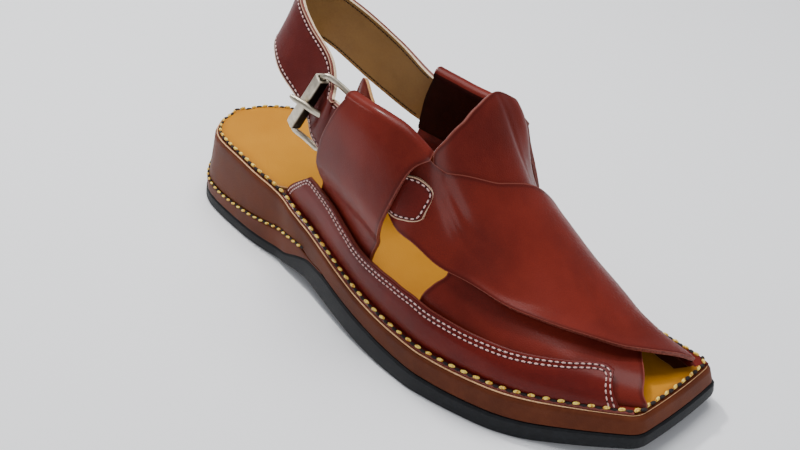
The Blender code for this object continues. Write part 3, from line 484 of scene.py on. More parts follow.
def paint(red, green, blue):
    """A colour read off as 0 to 255 turned into the renderer's linear light."""
    return tuple(((c / 255 + 0.055) / 1.055) ** 2.4 if c > 10 else c / 255 / 12.92
                 for c in (red, green, blue)) + (1.0,)


print("paint(255, 255, 255) =", paint(255, 255, 255))

# %% [markdown]
# Vegetable-tanned leather polished to a cherry shine: a deep red brown that drifts a little over
# the hide, darkens where the cut edges were burnished, and carries a fine grain under a thin coat of
# wax. The grain is a bump, the drift is slow noise, and the edge mark is a number on the points.

# %% Leathers
def polished_leather(name, body, deep, glow, rough=0.44, coat=0.22, edge=0.55, pale=None,
                     pale_amount=0.30, shine=0.04):
    board = Board(name)
    drift = board.noise(26, 3).step(0.34, 0.68)
    mottle = board.noise(190, 4, 0.6)
    rim = board.marked("edge_near")
    colour = board.mix(drift * 0.5, body, deep)
    colour = board.mix((mottle - 0.45) * 0.5, colour, glow)
    colour = board.mix(rim.step(0.05, 0.6) * edge, colour, deep)
    # A pale line along the very border in the colour pale: partly painted highlight on the panels and
    # bands, cream edge paint on the strap.
    if pale:
        colour = board.mix(rim.step(0.78, 0.88) * pale_amount, colour, pale)
    pores = board.noise(2600, 2, 0.6)
    wrinkles = board.cells(900).step(0.0, 0.35)
    scuffs = board.noise(420, 3, 0.7, stretch=(1, 6, 1))
    return board.finish(bump=pores * 0.35 + wrinkles * 0.30 + scuffs * 0.25, depth=0.0001,
                        Base_Color=colour, Roughness=rough + (mottle - 0.5) * 0.16 + scuffs * 0.05,
                        Coat_Weight=coat, Coat_Roughness=0.24, Specular_IOR_Level=shine)


# Partly painted highlight: light caught on the rounded edges of the panels and bands, on a bevel a little
# paler than the face.
pale_bevel_and_highlight = paint(180, 104, 88)
cherry = polished_leather("cherry_leather", paint(114, 37, 28), paint(68, 18, 15), paint(132, 48, 34),
                          pale=pale_bevel_and_highlight)
band_cherry = polished_leather("band_leather", paint(106, 29, 23), paint(66, 17, 16), paint(130, 44, 33),
                               pale=pale_bevel_and_highlight)
strap_cherry = polished_leather("strap_leather", paint(104, 32, 26), paint(66, 20, 20), paint(124, 46, 38),
                                pale=paint(224, 186, 154), pale_amount=0.85)
wall_brown = polished_leather("wall_leather", paint(98, 48, 27), paint(62, 29, 18), paint(128, 74, 46),
                              rough=0.46, coat=0.0, edge=0.0, shine=0.10)
rand_brown = polished_leather("rand_leather", paint(100, 48, 28), paint(64, 30, 19), paint(128, 72, 44),
                              rough=0.46, coat=0.0, edge=0.0, shine=0.10)
# Painted shade: the foot-facing side of each panel inside its fold, painted dark as if in shadow.
inside_shade_dark = polished_leather("inside_painted_shade", paint(52, 18, 14), paint(30, 11, 10), paint(66, 26, 20),
                              rough=0.6, coat=0.0)
print("leathers:", [m.name for m in (cherry, band_cherry, wall_brown, rand_brown, inside_shade_dark)])

# %% [markdown]
# The insole and the strap's lining are undyed hide. The insole is smooth and honey coloured, a little
# darker in slow drifts and towards its edges. The lining is a khaki flesh side with a short nap.

# %% Undyed hides, cut edges and thread
def honey_insole():
    board = Board("insole_hide")
    drift = board.noise(16, 3).step(0.3, 0.7)
    mottle = board.noise(240, 4, 0.6)
    rim = board.marked("edge_near")
    colour = board.mix(drift * 0.5, paint(196, 132, 26), paint(168, 102, 12))
    colour = board.mix((mottle - 0.42) * 0.35, colour, paint(210, 150, 40))
    # Darker towards the insole's edge.
    colour = board.mix(rim * 0.5, colour, paint(134, 76, 28))
    return board.finish(bump=board.noise(1800, 3, 0.6) * 0.5 + board.cells(700).step(0, 0.4) * 0.3,
                        depth=0.0001, Base_Color=colour, Roughness=0.42 + (mottle - 0.5) * 0.2,
                        Coat_Weight=0.0, Specular_IOR_Level=0.12)


def khaki_lining():
    board = Board("lining_hide")
    nap = board.noise(900, 4, 0.7)
    drift = board.noise(40, 3).step(0.3, 0.7)
    colour = board.mix(drift * 0.6, paint(150, 112, 58), paint(122, 88, 44))
    colour = board.mix((nap - 0.4) * 0.6, colour, paint(172, 134, 78))
    return board.finish(bump=nap * 0.8, depth=0.0002, Base_Color=colour, Roughness=0.62 + nap * 0.2)


def cut_edge(name, body, pale):
    board = Board(name)
    fibres = board.noise(1500, 3, 0.7)
    return board.finish(bump=fibres, depth=0.0001, Base_Color=board.mix(fibres.step(0.35, 0.7), body, pale),
                        Roughness=0.55)


def twisted_thread(name, body, deep, scale=1100):
    board = Board(name)
    strands = board.noise(scale, 2, 0.5, stretch=(1.0, 1.0, 0.4))
    colour = board.mix(strands.step(0.3, 0.6), deep, body)
    return board.finish(bump=strands, depth=0.00025, Base_Color=colour, Roughness=0.5,
                        Specular_IOR_Level=0.2)


honey = honey_insole()
khaki = khaki_lining()
edge_red = cut_edge("red_cut_edge", paint(92, 30, 22), paint(140, 70, 56))
edge_line = cut_edge("rim_pale_line", paint(196, 142, 96), paint(232, 188, 140))
edge_tan = cut_edge("tan_cut_edge", paint(166, 112, 60), paint(206, 162, 100))
edge_cream = cut_edge("cream_cut_edge", paint(206, 176, 140), paint(240, 218, 188))
waxed_yellow = twisted_thread("waxed_yellow_thread", paint(255, 226, 112), paint(206, 138, 36))
fine_white = twisted_thread("fine_white_thread", paint(232, 196, 190), paint(190, 140, 132), 2200)
fine_dark = twisted_thread("fine_dark_thread", paint(70, 46, 26), paint(46, 30, 20), 2200)
# Painted shade: the dark of a needle hole, on small beads between the stitches.
needle_hole_shade = Board("needle_hole_shade").finish(Base_Color=paint(26, 12, 10), Roughness=0.8)
print("trim:", [m.name for m in (honey, khaki, edge_red, edge_line, waxed_yellow, fine_white, needle_hole_shade)])

# %% [markdown]
# Rubber is nearly black and scatters light, with a trace of moulding dust. The buckle is plated brass,
# bright with a little uneven wear, and dark brown on its faces that look forward, which is painted shade.

# %% Rubber, metal and the floor's paint
def matte_rubber():
    board = Board("black_rubber")
    dust = board.noise(300, 5, 0.7)
    colour = board.mix(dust.step(0.35, 0.8) * 0.7, paint(13, 14, 17), paint(34, 36, 40))
    return board.finish(bump=board.noise(1600, 3, 0.6) * 0.6 + dust * 0.3, depth=0.00018, Base_Color=colour,
                        Roughness=0.62 + (dust - 0.5) * 0.3, Specular_IOR_Level=0.25)


def worn_nickel_painted_shade():
    board = Board("worn_nickel_painted_shade")
    # Painted shade: dark where shaded_side marks the forward-looking faces; the noise is uneven wear.
    wear_and_shade = (0.72 + board.noise(300, 3, 0.6).step(0.3, 0.7) * 0.28) * (1 - board.marked("shaded_side"))
    scratches = board.noise(1500, 3, 0.7, stretch=(1, 8, 1))
    return board.finish(bump=scratches, depth=0.00004,
                        Base_Color=board.mix(wear_and_shade, paint(34, 27, 20), paint(204, 194, 174)),
                        Metallic=1.0, Roughness=0.46 - wear_and_shade * 0.12 + (scratches - 0.5) * 0.08)


rubber = matte_rubber()
nickel = worn_nickel_painted_shade()
floor.data.materials.append(Board("studio_paint").finish(Base_Color=paint(250, 251, 254), Roughness=0.7))
print("hard finishes:", rubber.name, nickel.name)

# %% [markdown]
# Most pieces here start as a flat grid primitive with one vertex for each measured place. The vertices
# are moved to their first level, then the whole sheet is extruded and moved to its next level, so a
# sole or a strap grows like a stack. A stored number tells every vertex its place in the grid.

# %% Growing a solid from a grid
def places(piece):
    """The grid place stored on every vertex."""
    place = np.zeros(len(piece.data.vertices), np.int32)
    piece.data.attributes["grid_place"].data.foreach_get("value", place)
    return place


def selected_to(piece, points):
    """Moves the selected vertices to the grid places that their stored numbers name."""
    data = piece.data
    chosen = np.zeros(len(data.vertices), bool)
    data.vertices.foreach_get("select", chosen)
    spots = np.zeros(len(data.vertices) * 3)
    data.vertices.foreach_get("co", spots)
    spots = spots.reshape(-1, 3)
    spots[chosen] = (points.reshape(-1, 3) - ORIGIN)[places(piece)[chosen]]
    data.vertices.foreach_set("co", spots.ravel())
    data.update()


def grown(name, levels, looks):
    """A solid through several levels; looks are for the first face, the sides and the last face."""
    rows, cols = levels[0].shape[:2]
    nothing_selected()
    bpy.ops.mesh.primitive_grid_add(x_subdivisions=cols - 1, y_subdivisions=rows - 1, size=0.1)
    piece = bpy.context.object
    piece.name = piece.data.name = name
    for look in looks:
        piece.data.materials.append(look)
    piece.data.attributes.new("grid_place", "INT", "POINT").data.foreach_set("value", range(rows * cols))
    piece.data.vertices.foreach_set("select", [True] * (rows * cols))
    selected_to(piece, levels[0])
    bpy.ops.object.mode_set(mode="EDIT")
    bpy.ops.mesh.select_all(action="SELECT")
    for points in levels[1:]:
        bpy.ops.mesh.extrude_region_move(TRANSFORM_OT_translate={"value": (0, 0, 0.001)})
        bpy.ops.object.mode_set(mode="OBJECT")
        selected_to(piece, points)
        bpy.ops.object.mode_set(mode="EDIT")
    bpy.ops.object.mode_set(mode="OBJECT")
    chosen = np.array([v.select for v in piece.data.vertices])
    place = places(piece)
    for poly in piece.data.polygons:
        corners = list(poly.vertices)
        look = 2 if chosen[corners].all() else 0
        if len(set(place[corners])) < 4:
            look = 1
        poly.material_index = min(look, len(looks) - 1)
    bpy.ops.object.mode_set(mode="EDIT")
    bpy.ops.mesh.select_all(action="SELECT")
    bpy.ops.mesh.normals_make_consistent(inside=False)
    bpy.ops.object.mode_set(mode="OBJECT")
    return piece


def mark(piece, name, values):
    """Stores one number for each grid place as an attribute of the piece."""
    layer = piece.data.attributes.new(name, "FLOAT", "POINT")
    layer.data.foreach_set("value", np.asarray(values, float).ravel()[places(piece)])


def edge_near(points, reach=0.004):
    """1 on the border of a grid of points, falling to 0 at reach inside it."""
    across, down = lengths(points, 1), lengths(points, 0)
    away = np.minimum(across, across[:, -1:] - across)
    away = np.minimum(away, np.minimum(down, down[-1:] - down))
    return np.clip(1 - away / reach, 0, 1) ** 2


def rounded(piece, width, segments=2, angle=40, smooth=35):
    """Bevels the sharp edges, applies the bevel and shades the rest smooth."""
    nothing_selected()
    piece.select_set(True)
    bpy.context.view_layer.objects.active = piece
    if width:
        bevel = piece.modifiers.new("rounding", "BEVEL")
        bevel.width = width
        bevel.segments = segments
        bevel.limit_method = "ANGLE"
        bevel.angle_limit = math.radians(angle)
        bevel.use_clamp_overlap = True
        bpy.ops.object.modifier_apply(modifier=bevel.name)
    bpy.ops.object.shade_smooth_by_angle(angle=math.radians(smooth))
    return piece


def belongs(piece, slot_name, *nodes):
    """The piece rides on the shoe and stands for the solids named."""
    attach(piece, "root")
    if nodes:
        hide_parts(*nodes)
    return piece


SLOTS = [m.get("slot") for m in frame["record"]["materials"]]
print("slots in the record:", SLOTS)

# %% [markdown]
# The outsole is one thick rubber sheet: proud of the leather, square-cut at the toe, with a soft lower
# edge where the mould parted. The grid is grown through five levels, and every other pair of its lowest
# rows is lifted a little, which gives a tread of cross ribs under the heel and the forefoot.

# %% Rubber outsole
TREAD_DEPTH = 0.0006
TREAD_ZONES = [(0.03, 0.29), (0.52, 0.96)]
sole_levels = [
    level(lambda s: rubber_out(s) - 0.0011, ground),
    level(lambda s: rubber_out(s) - 0.0003, lambda s: ground(s) + 0.0003),
    level(rubber_out, lambda s: ground(s) + 0.0011),
    level(lambda s: rubber_out(s) - 0.0004, lambda s: rubber_top(s) - 0.0008),
    level(lambda s: rubber_out(s) - 0.0012, rubber_top),
]
for zone_start, zone_stop in TREAD_ZONES:
    for i, share in enumerate(sole_levels[0][:, 0, 0] / LENGTH):
        if i % 4 < 2 and zone_start < share < zone_stop:
            sole_levels[0][i, 3:-3, 2] += TREAD_DEPTH
outsole = grown("rubber_outsole", sole_levels, [rubber])
mark(outsole, "edge_near", edge_near(sole_levels[0]))
belongs(rounded(outsole, 0.0003, 1, 50), "rubber", "outsole")
print("outsole faces:", len(outsole.data.polygons))

# %% [markdown]
# The wall is leather wrapped over the wedge. It stands proud at the heel's foot, draws in towards the
# rim and turns over on top, where the upper and the insole are sewn to it. Under it the heel has one
# more strip of leather; its upper edge is a groove, and the lower row of stitches lies in it.

# %% Wall and heel strip
# Share of the strip's height, and how far it stands proud of the wall there.
RAND_SECTION = [
    (0.00, 0.0003), (0.05, 0.0006), (0.30, 0.0008), (0.60, 0.0008), (0.82, 0.0008), (0.90, 0.0006),
    (0.96, 0.0002), (1.00, -0.0006),
]
# Share of the wall's height, and how far it lies back there.
WALL_SECTION = [
    (0.00, 0.0006), (0.02, 0.0001), (0.07, 0), (0.15, 0), (0.30, 0), (0.45, 0), (0.60, 0), (0.75, 0),
    (0.90, 0), (1.00, 0),
]


def wall_at(s, z):
    """Outset of the wall at a height: full at the rubber, nothing at the rim."""
    rise = np.clip((z - rubber_top(s)) / (rim_height(s) - rubber_top(s)), 0, 1)
    return wall_out(s) * (1 - rise) ** WALL_CURVE + WALL_PROUD


def rand_foot(s):
    return rubber_top(s) + GAP


def rand_level(rise, proud):
    def height(s):
        return rand_foot(s) + np.maximum(lift(s), RAND_LEAST) * rise

    def outset(s):
        fading = np.clip((RAND_FADE - s) / RAND_FADE_OVER, 0, 1)
        return np.minimum(rubber_out(s) - 0.0008, wall_at(s, height(s)) + proud * fading)

    return level(outset, height, rows=90, stop=HEEL_END)


rand_levels = [rand_level(*row) for row in RAND_SECTION]
rand = grown("heel_lift", rand_levels, [rand_brown])
mark(rand, "edge_near", 0 * rand_levels[0][..., 0])
belongs(rounded(rand, 0, smooth=50), "rand", "heel_rand")


def wall_foot(s):
    under = np.maximum(lift(s), RAND_LEAST) + GAP
    return rand_foot(s) + under * np.clip((WALL_DOWN - s) / WALL_DOWN_OVER + 1, 0, 1)


def wall_level(rise, inset):
    def height(s):
        return wall_foot(s) + (rim_height(s) - RIM_ROUND - wall_foot(s)) * rise

    return level(lambda s: wall_at(s, height(s)) - inset, height)


wall_levels = [wall_level(*row) for row in WALL_SECTION]
for angle in (20, 40, 60, 75, 90):
    lean, climb = 1 - math.cos(math.radians(angle)), 1 - math.sin(math.radians(angle))
    wall_levels.append(level(lambda s: 0 * s + WALL_PROUD - (RIM_ROUND + WALL_PROUD) * lean,
                             lambda s: rim_height(s) - RIM_ROUND * climb))
wall = grown("wedge_wall", wall_levels, [wall_brown])
mark(wall, "edge_near", 0 * wall_levels[0][..., 0])
belongs(rounded(wall, 0, smooth=50), "wall", "midsole")
print("wall and strip faces:", len(wall.data.polygons), len(rand.data.polygons))

# %% [markdown]
# The insole is a smooth tan sheet. It fills the heel and the toe up to the stitches, and in the middle
# it stays inside the feet of the upper.

# %% Insole
# Shares where the insole narrows behind the upper's feet and widens again at the toe.
NARROW_FROM, NARROW_OVER, WIDE_AGAIN, WIDE_OVER = 0.262, 0.025, 0.9775, 0.006
TUCK_FROM, TUCK_OVER, FOOT_CLEAR = 0.80, 0.13, 0.0004
# Inset and share of the height, from the foot of its edge to the top.
INSOLE_SECTION = [(0.0010, 0.1), (0.0009, 0.6), (0.0011, 0.9), (0.0015, 1.0)]


def insole_inset(s):
    rise = np.clip((s - NARROW_FROM) / NARROW_OVER, 0, 1)
    fall = np.clip((WIDE_AGAIN - s) / WIDE_OVER, 0, 1)
    tuck = TOE_TUCK * np.clip((s - TUCK_FROM) / TUCK_OVER, 0, 1)
    return -(INSOLE_EDGE + (RIM_BORDER + FOOT_CLEAR + tuck - INSOLE_EDGE) * np.minimum(rise, fall))


insole_levels = [level(lambda s: insole_inset(s) - inset, lambda s: rim_height(s) + rise * INSOLE_SHOWN)
                 for inset, rise in INSOLE_SECTION]
insole = grown("tan_insole", insole_levels, [edge_tan, edge_tan, honey])
mark(insole, "edge_near", edge_near(insole_levels[0], 0.006))
belongs(rounded(insole, 0), "insole", "insole")
print("insole faces:", len(insole.data.polygons))

# %% [markdown]
# A line that follows an edge is a curve with a round section. The path primitive gives the curve; its
# points are set, and Convert turns it into a mesh.

# %% Swept lines
def swept(name, points, radius, look, closed=False, radii=None, sides=2):
    nothing_selected()
    bpy.ops.curve.primitive_nurbs_path_add()
    line = bpy.context.object
    line.name = line.data.name = name
    line.data.splines.clear()
    spline = line.data.splines.new("POLY")
    spline.points.add(len(points) - 1)
    for i, point in enumerate(np.asarray(points) - ORIGIN):
        spline.points[i].co = (*point, 1)
        spline.points[i].radius = 1.0 if radii is None else radii[i]
    spline.use_cyclic_u = closed
    line.data.bevel_depth = radius
    line.data.bevel_resolution = sides
    line.data.use_fill_caps = True
    bpy.ops.object.convert(target="MESH")
    line = bpy.context.object
    line.data.materials.append(look)
    bpy.ops.object.shade_smooth_by_angle(angle=math.radians(50))
    return line


# A thin pale line along the rounded rim edge, thinner towards the toe.
EDGE_LINE_IN, EDGE_LINE_DOWN, EDGE_LINE_RADIUS = 0.0007, 0.00005, 0.00032
rim_loop = border(level(lambda s: 0 * s - EDGE_LINE_IN, lambda s: rim_height(s) - EDGE_LINE_DOWN,
                        rows=300, across=40))
thinner = np.interp(np.clip(rim_loop[:, 0] / LENGTH, 0, 1), [0, 0.86, 0.95, 1], [1, 1, 0.35, 0.35])
belongs(swept("rim_edge_line", rim_loop, EDGE_LINE_RADIUS, edge_line, closed=True, radii=thinner), "wall")
print("rim line points:", len(rim_loop))

# %% [markdown]
# The upper's lower margin is turned outwards and lies flat on the rim, and the yellow stitches go
# through it. One strip on each side shows that margin.

# %% Turned margins
MARGIN_START, MARGIN_STOP, MARGIN_THICK = 0.286, 0.984, 0.0010
# Distance inside the rim, and share of the thickness there.
MARGIN_SECTION = [(0.0012, 0.7), (0.0016, 0.95), (0.0030, 1.0), (0.0050, 1.0), (0.0075, 1.0), (0.0100, 0.8)]


def rim_curve(sign, inset, rows=300):
    grid = plan_grid(lambda s: 0 * s - inset, rows, 8)
    return grid[:, 0] if sign < 0 else grid[:, -1]


def turned_margin(name, sign):
    insets, thickness = zip(*MARGIN_SECTION)
    share = rim_curve(sign, 0.0)[:, 0] / LENGTH
    keep = (share >= MARGIN_START) & (share <= MARGIN_STOP)
    plan = np.stack([rim_curve(sign, inset)[keep] for inset in insets], axis=1)
    low = rim_height(np.clip(plan[..., 0] / LENGTH, 0, 1)) + 0.00005
    high = low + MARGIN_THICK * np.array(thickness)
    bottom, top = np.concatenate([plan, low[..., None]], -1), np.concatenate([plan, high[..., None]], -1)
    piece = grown(name, [bottom, top], [band_cherry, edge_red, band_cherry])
    mark(piece, "edge_near", 0 * low)
    return belongs(rounded(piece, 0), "upper")


margins = [turned_margin("turned_margin_outer", -1), turned_margin("turned_margin_inner", 1)]
print("margins:", [m.name for m in margins])

# %% [markdown]
# Each panel is cut from one sheet: it starts at the toe, crosses the vamp, folds outwards over the
# strap and comes down again as a leg. Its two faces are a leather's thickness apart, and the raw cut
# edge between them keeps its own paler colour. A few shallow creases lie beside each fold.

# %% Panel surfaces
PANEL_COLS, LEG_ROWS, ARC_ROWS = 41, 60, 18
EDGE_BOW, DROP_TURN, DROP_OVER = 0.022, 0.59, 0.15


def panel_faces(rows, table, leg, fold_radius, lift_over, relief):
    edge = along(table, rows)
    w = np.linspace(0, 1, PANEL_COLS)
    share = edge[:, 0:1] + (edge[:, 2:3] - edge[:, 0:1]) * w
    turn = edge[:, 1:2] + (edge[:, 3:4] - edge[:, 1:2]) * w
    sign = np.sign(table[-1][1])
    turn = turn + sign * EDGE_BOW * np.sin(np.pi * w) * np.linspace(0, 1, rows)[:, None] ** 3
    drop = np.clip((np.sign(table[0][1]) * turn - DROP_TURN) / DROP_OVER, 0, 1)
    base = lift_over * (1 - drop * drop * (3 - 2 * drop)) + relief(share, turn, w)
    foot_rows, far_rows = [on_last(share, turn, base)], [on_last(share, turn, base + LEATHER)]
    s_end, t_end = share[-1], turn[-1]
    normal = last_normal(s_end, t_end)
    rise = unit(on_last(s_end, t_end - sign * 0.01) - on_last(s_end, t_end + sign * 0.01))
    centre = on_last(s_end, t_end, base[-1] + LEATHER + fold_radius)
    for beta in np.linspace(0, np.pi, ARC_ROWS)[1:-1]:
        way = -math.cos(beta) * normal + math.sin(beta) * rise
        foot_rows.append((centre + (fold_radius + LEATHER) * way)[None])
        far_rows.append((centre + fold_radius * way)[None])
    down = np.linspace(0, 1, LEG_ROWS)[:, None]
    r_share, r_turn, f_share, f_turn, left = [column(leg, down, c) for c in (1, 2, 3, 4, 5)]
    share = r_share + (f_share - r_share) * w
    turn = sign * (r_turn + (f_turn - r_turn) * w + EDGE_BOW * np.sin(np.pi * w) * (1 - down) ** 2)
    out = (lift_over + LEATHER + 2 * fold_radius) * left + 0.0 * w
    foot_rows.append(on_last(share, turn, out + LEATHER))
    far_rows.append(on_last(share, turn, out))
    return np.concatenate(foot_rows), np.concatenate(far_rows)


EDGE_CURL, CURL_START, CURL_STOP, CURL_OVER, CURL_WIDE = 0.0014, 0.16, 0.86, 0.2, 0.10
VALLEY, VALLEY_WIDE = 0.0022, 0.009
TURN_WIDTH, DARK_PAST_FOLD = 0.075, 4
# Height, then share and turn of the centre, then the two widths.
CONE_RELIEF = [(0.0040, 0.595, 0.45, 0.035, 0.12), (-0.0040, 0.660, 0.50, 0.050, 0.22)]
# Share and turn of the two ends, then depth and half width.
OVER_CREASES = [
    (0.630, -0.350, 0.720, -0.290, 0.0005, 0.0022), (0.640, -0.420, 0.715, -0.400, 0.0004, 0.0020),
    (0.690, -0.060, 0.760, -0.150, 0.0004, 0.0026), (0.800, 0.120, 0.860, 0.020, 0.0003, 0.0026),
]
UNDER_CREASES = [
    (0.600, 0.200, 0.655, 0.330, 0.0005, 0.0022), (0.690, -0.620, 0.760, -0.560, 0.0004, 0.0022),
]


def hills(rows, share, turn):
    """Smooth hills and hollows."""
    out = 0.0 * share
    for height, s0, t0, s_wide, t_wide in rows:
        out = out + height * np.exp(-((share - s0) / s_wide) ** 2 - ((turn - t0) / t_wide) ** 2)
    return out


# The over panel's toe-side edge, without its two ends.
over_edge = along(PANEL_OVER, 200)[20:170]
over_edge_points = on_last(over_edge[:, 0], over_edge[:, 1])


def creases(rows, share, turn):
    """Shallow creases along short lines, fading at both ends."""
    out = 0.0 * share
    for s0, t0, s1, t1, depth, wide in rows:
        x, y = (share - s0) * LENGTH, (turn - t0) * TURN_WIDTH
        dx, dy = (s1 - s0) * LENGTH, (t1 - t0) * TURN_WIDTH
        run = np.clip((x * dx + y * dy) / (dx * dx + dy * dy), 0, 1)
        away = np.hypot(x - run * dx, y - run * dy)
        ends = np.sin(np.pi * np.clip(run, 0.08, 0.92)) ** 0.6
        out = out - depth * ends * np.exp(-(away / wide) ** 2)
    return out


def over_relief(share, turn, w):
    """The toe-side edge curls up a little along the vamp."""
    down = np.linspace(0, 1, len(share))[:, None]
    window = np.clip((down - CURL_START) / CURL_OVER, 0, 1) * np.clip((CURL_STOP - down) / CURL_OVER, 0, 1)
    return EDGE_CURL * window * np.exp(-(w / CURL_WIDE) ** 2) + creases(OVER_CREASES, share, turn)


def under_relief(share, turn, w):
    """The cone, and a shallow valley under the other panel's edge."""
    spots = on_last(share, turn)
    away = np.linalg.norm(spots[:, :, None] - over_edge_points, axis=-1).min(axis=-1)
    valley = VALLEY * np.exp(-(away / VALLEY_WIDE) ** 2)
    return hills(CONE_RELIEF, share, turn) + creases(UNDER_CREASES, share, turn) - valley


def dark_inside(piece, rows):
    """The side that faces the foot, up to the fold, is painted dark as painted shade; on the leg the same
    side shows outside.
    """
    place = places(piece)
    piece.data.materials.append(inside_shade_dark)
    for poly in piece.data.polygons:
        if poly.material_index == 0 and place[list(poly.vertices)].max() < rows * PANEL_COLS:
            poly.material_index = 3


def crossing_panel(name, rows, *shape):
    foot, far = panel_faces(rows, *shape)
    piece = grown(name, [foot, far], [cherry, edge_red, cherry])
    mark(piece, "edge_near", edge_near(far))
    dark_inside(piece, rows + DARK_PAST_FOLD)
    return belongs(rounded(piece, 0.0005, 2, 50), "upper", "upper")


over = crossing_panel("crossing_panel_over", 150, PANEL_OVER, LEG_OUTER, FOLD_LATERAL, LEATHER - LAP_SINK,
                      over_relief)
under = crossing_panel("crossing_panel_under", 160, PANEL_UNDER, LEG_INNER, FOLD_MEDIAL, 0.0, under_relief)
print("panel faces:", len(over.data.polygons), len(under.data.polygons))

# %% [markdown]
# The padded edge bands run round the foot of the upper. Seen in section a band rises from its foot,
# swells over its padding and thins again towards its upper edge, where two rows of stitches run.

# %% Edge bands
BAND_PROFILE = [
    (0.00, 0.0010), (0.05, 0.0015), (0.20, 0.0020), (0.42, 0.0025), (0.62, 0.0026), (0.74, 0.0023),
    (0.82, 0.0020), (0.90, 0.0019), (0.97, 0.0018), (1.00, 0.0014),
]
BAND_LEAST, BAND_COLS = 0.0009, np.concatenate([np.linspace(0, 0.7, 16), np.linspace(0.72, 1, 19)])
# Side, rows, and the last row of the table that each band reaches.
BANDS = {"outer": (-1, 240, None), "inner": (1, 130, 7)}


def band_places(w, sign, rows, last):
    edge = along(EDGE_BAND, rows, last)
    return edge[:, 0:1] + (edge[:, 1:2] - edge[:, 0:1]) * w, sign * (1 + (edge[:, 2:3] - 1) * w)


def band_surface(w, sign, rows, last):
    share, turn = band_places(w, sign, rows, last)
    ends = np.minimum(np.arange(rows), np.arange(rows)[::-1])[:, None] / rows
    swell = BAND_LEAST + (column(BAND_PROFILE, w, 1) - BAND_LEAST) * np.clip(ends / 0.004, 0.6, 1)
    return on_last(share, turn, LEATHER + BAND_GAP + swell)


def edge_band(which):
    share, turn = band_places(BAND_COLS, *BANDS[which])
    inside = on_last(share, turn, LEATHER + BAND_GAP + 0 * share)
    outside = band_surface(BAND_COLS, *BANDS[which])
    piece = grown("edge_band_" + which + "_padded", [inside, outside], [band_cherry])
    mark(piece, "edge_near", edge_near(outside, 0.0012) * 0.9)
    belongs(rounded(piece, 0.0003, 2, 60), "upper", "edge_band_" + which)
    return piece


outer_band, inner_band = edge_band("outer"), edge_band("inner")
print("band faces:", len(outer_band.data.polygons), len(inner_band.data.polygons))

# %% [markdown]
# The heel strap is two hides glued back to back: cherry leather outside, khaki lining inside. Its
# middle surface runs from the inner fold round the heel, under the roller and through the outer fold
# to the tab, so both layers are grown from the same rows.

# %% Heel strap
def tunnel_row(row, w):
    return on_last(row[0] + (row[1] - row[0]) * w, row[2] + (row[3] - row[2]) * w, row[4] + 0 * w)


def strap_rows(w):
    rows = [tunnel_row(row, w) for row in STRAP_INNER_TUNNEL]
    loop = np.array([row[:3] for row in STRAP_LOOP]) * np.array([LENGTH, BALL_WIDTH, INSTEP])
    middle = np.linspace(0, 1, 5)
    first = tunnel_row(STRAP_INNER_TUNNEL[-1], middle).mean(axis=0)
    ahead = tunnel_row(STRAP_OUTER_TUNNEL[0], middle).mean(axis=0)
    path = np.concatenate([[first], loop, [ahead]])
    for i, row in enumerate(STRAP_LOOP, start=1):
        way = unit(path[i + 1] - path[i - 1])
        lean = np.array([0.0, row[3], 1.0])
        rise = unit(lean - way * np.dot(lean, way))
        rows.append(path[i] + rise * (STRAP_WIDTH * (0.5 - w))[:, None])
    return np.array(rows + [tunnel_row(row, w) for row in STRAP_OUTER_TUNNEL])


def spline_rows(rows, each):
    pad = np.concatenate([[2 * rows[0] - rows[1]], rows, [2 * rows[-1] - rows[-2]]])
    out = []
    for i in range(1, len(pad) - 2):
        p0, p1, p2, p3 = pad[i - 1], pad[i], pad[i + 1], pad[i + 2]
        for t in np.arange(each) / each:
            out.append(0.5 * (2 * p1 + (p2 - p0) * t + (2 * p0 - 5 * p1 + 4 * p2 - p3) * t * t
                              + (3 * p1 - p0 - 3 * p2 + p3) * t ** 3))
    out.append(pad[-2])
    return np.array(out)


def ribbon_normal(rows):
    return unit(np.cross(np.gradient(rows, axis=0), np.gradient(rows, axis=1)))


GLUE_LINE, HEEL_ROW_AT = 0.00005, 60
strap_middle = spline_rows(strap_rows(np.linspace(0, 1, 15)), 10)
strap_out = ribbon_normal(strap_middle)
at_heel = strap_middle[HEEL_ROW_AT].mean(axis=0)
if np.dot(strap_out[HEEL_ROW_AT].mean(axis=0), at_heel - np.array([LENGTH * 0.5, -0.004, at_heel[2]])) < 0:
    strap_out = -strap_out
for name, side_way, looks, burnish, round_by in (
        ("heel_strap_outer", 1, [edge_red, edge_red, strap_cherry], 0.0048, 0.0004),
        ("heel_strap_lining", -1, [edge_cream, edge_cream, khaki], 0.0022, 0.0003)):
    layer = [strap_middle + strap_out * side_way * away for away in (GLUE_LINE, STRAP_THICK / 2)]
    hide = grown(name, layer, looks)
    mark(hide, "edge_near", edge_near(strap_middle, burnish))
    belongs(rounded(hide, round_by, 2, 50), "strap", "heel_strap")
print("strap rows:", len(strap_middle))

# %% [markdown]
# The buckle is bent from one round wire, with a square-faced roller on the near side and a prong that
# hooks round the bar. It leans with the strap, so it has its own axes: up along the roller, forward to
# the bar and outward from the foot.

# %% Buckle
BUCKLE_CENTRE = np.array([LENGTH * 0.366, BALL_WIDTH * -0.365, INSTEP * 0.712])
BUCKLE_REACH, BUCKLE_HALF, FRAME_WIRE, PRONG_WIRE = 0.0165, 0.0185, 0.0014, 0.0012
FRAME_CORNER, FRAME_BOW, FRAME_FLAT = 0.0030, -0.0008, 0.15
ROLLER_SIDE, ROLLER_CLEAR, ROLLER_LEAN = 0.0060, 0.0014, math.radians(36)
buckle_up = unit((0.50, 0.10, 0.86))
buckle_forward = np.array((0.86, 0.34, -0.42))
buckle_forward = unit(buckle_forward - buckle_up * np.dot(buckle_forward, buckle_up))
buckle_out = unit(np.cross(buckle_up, buckle_forward))
buckle_out = -buckle_out if buckle_out[1] > 0 else buckle_out


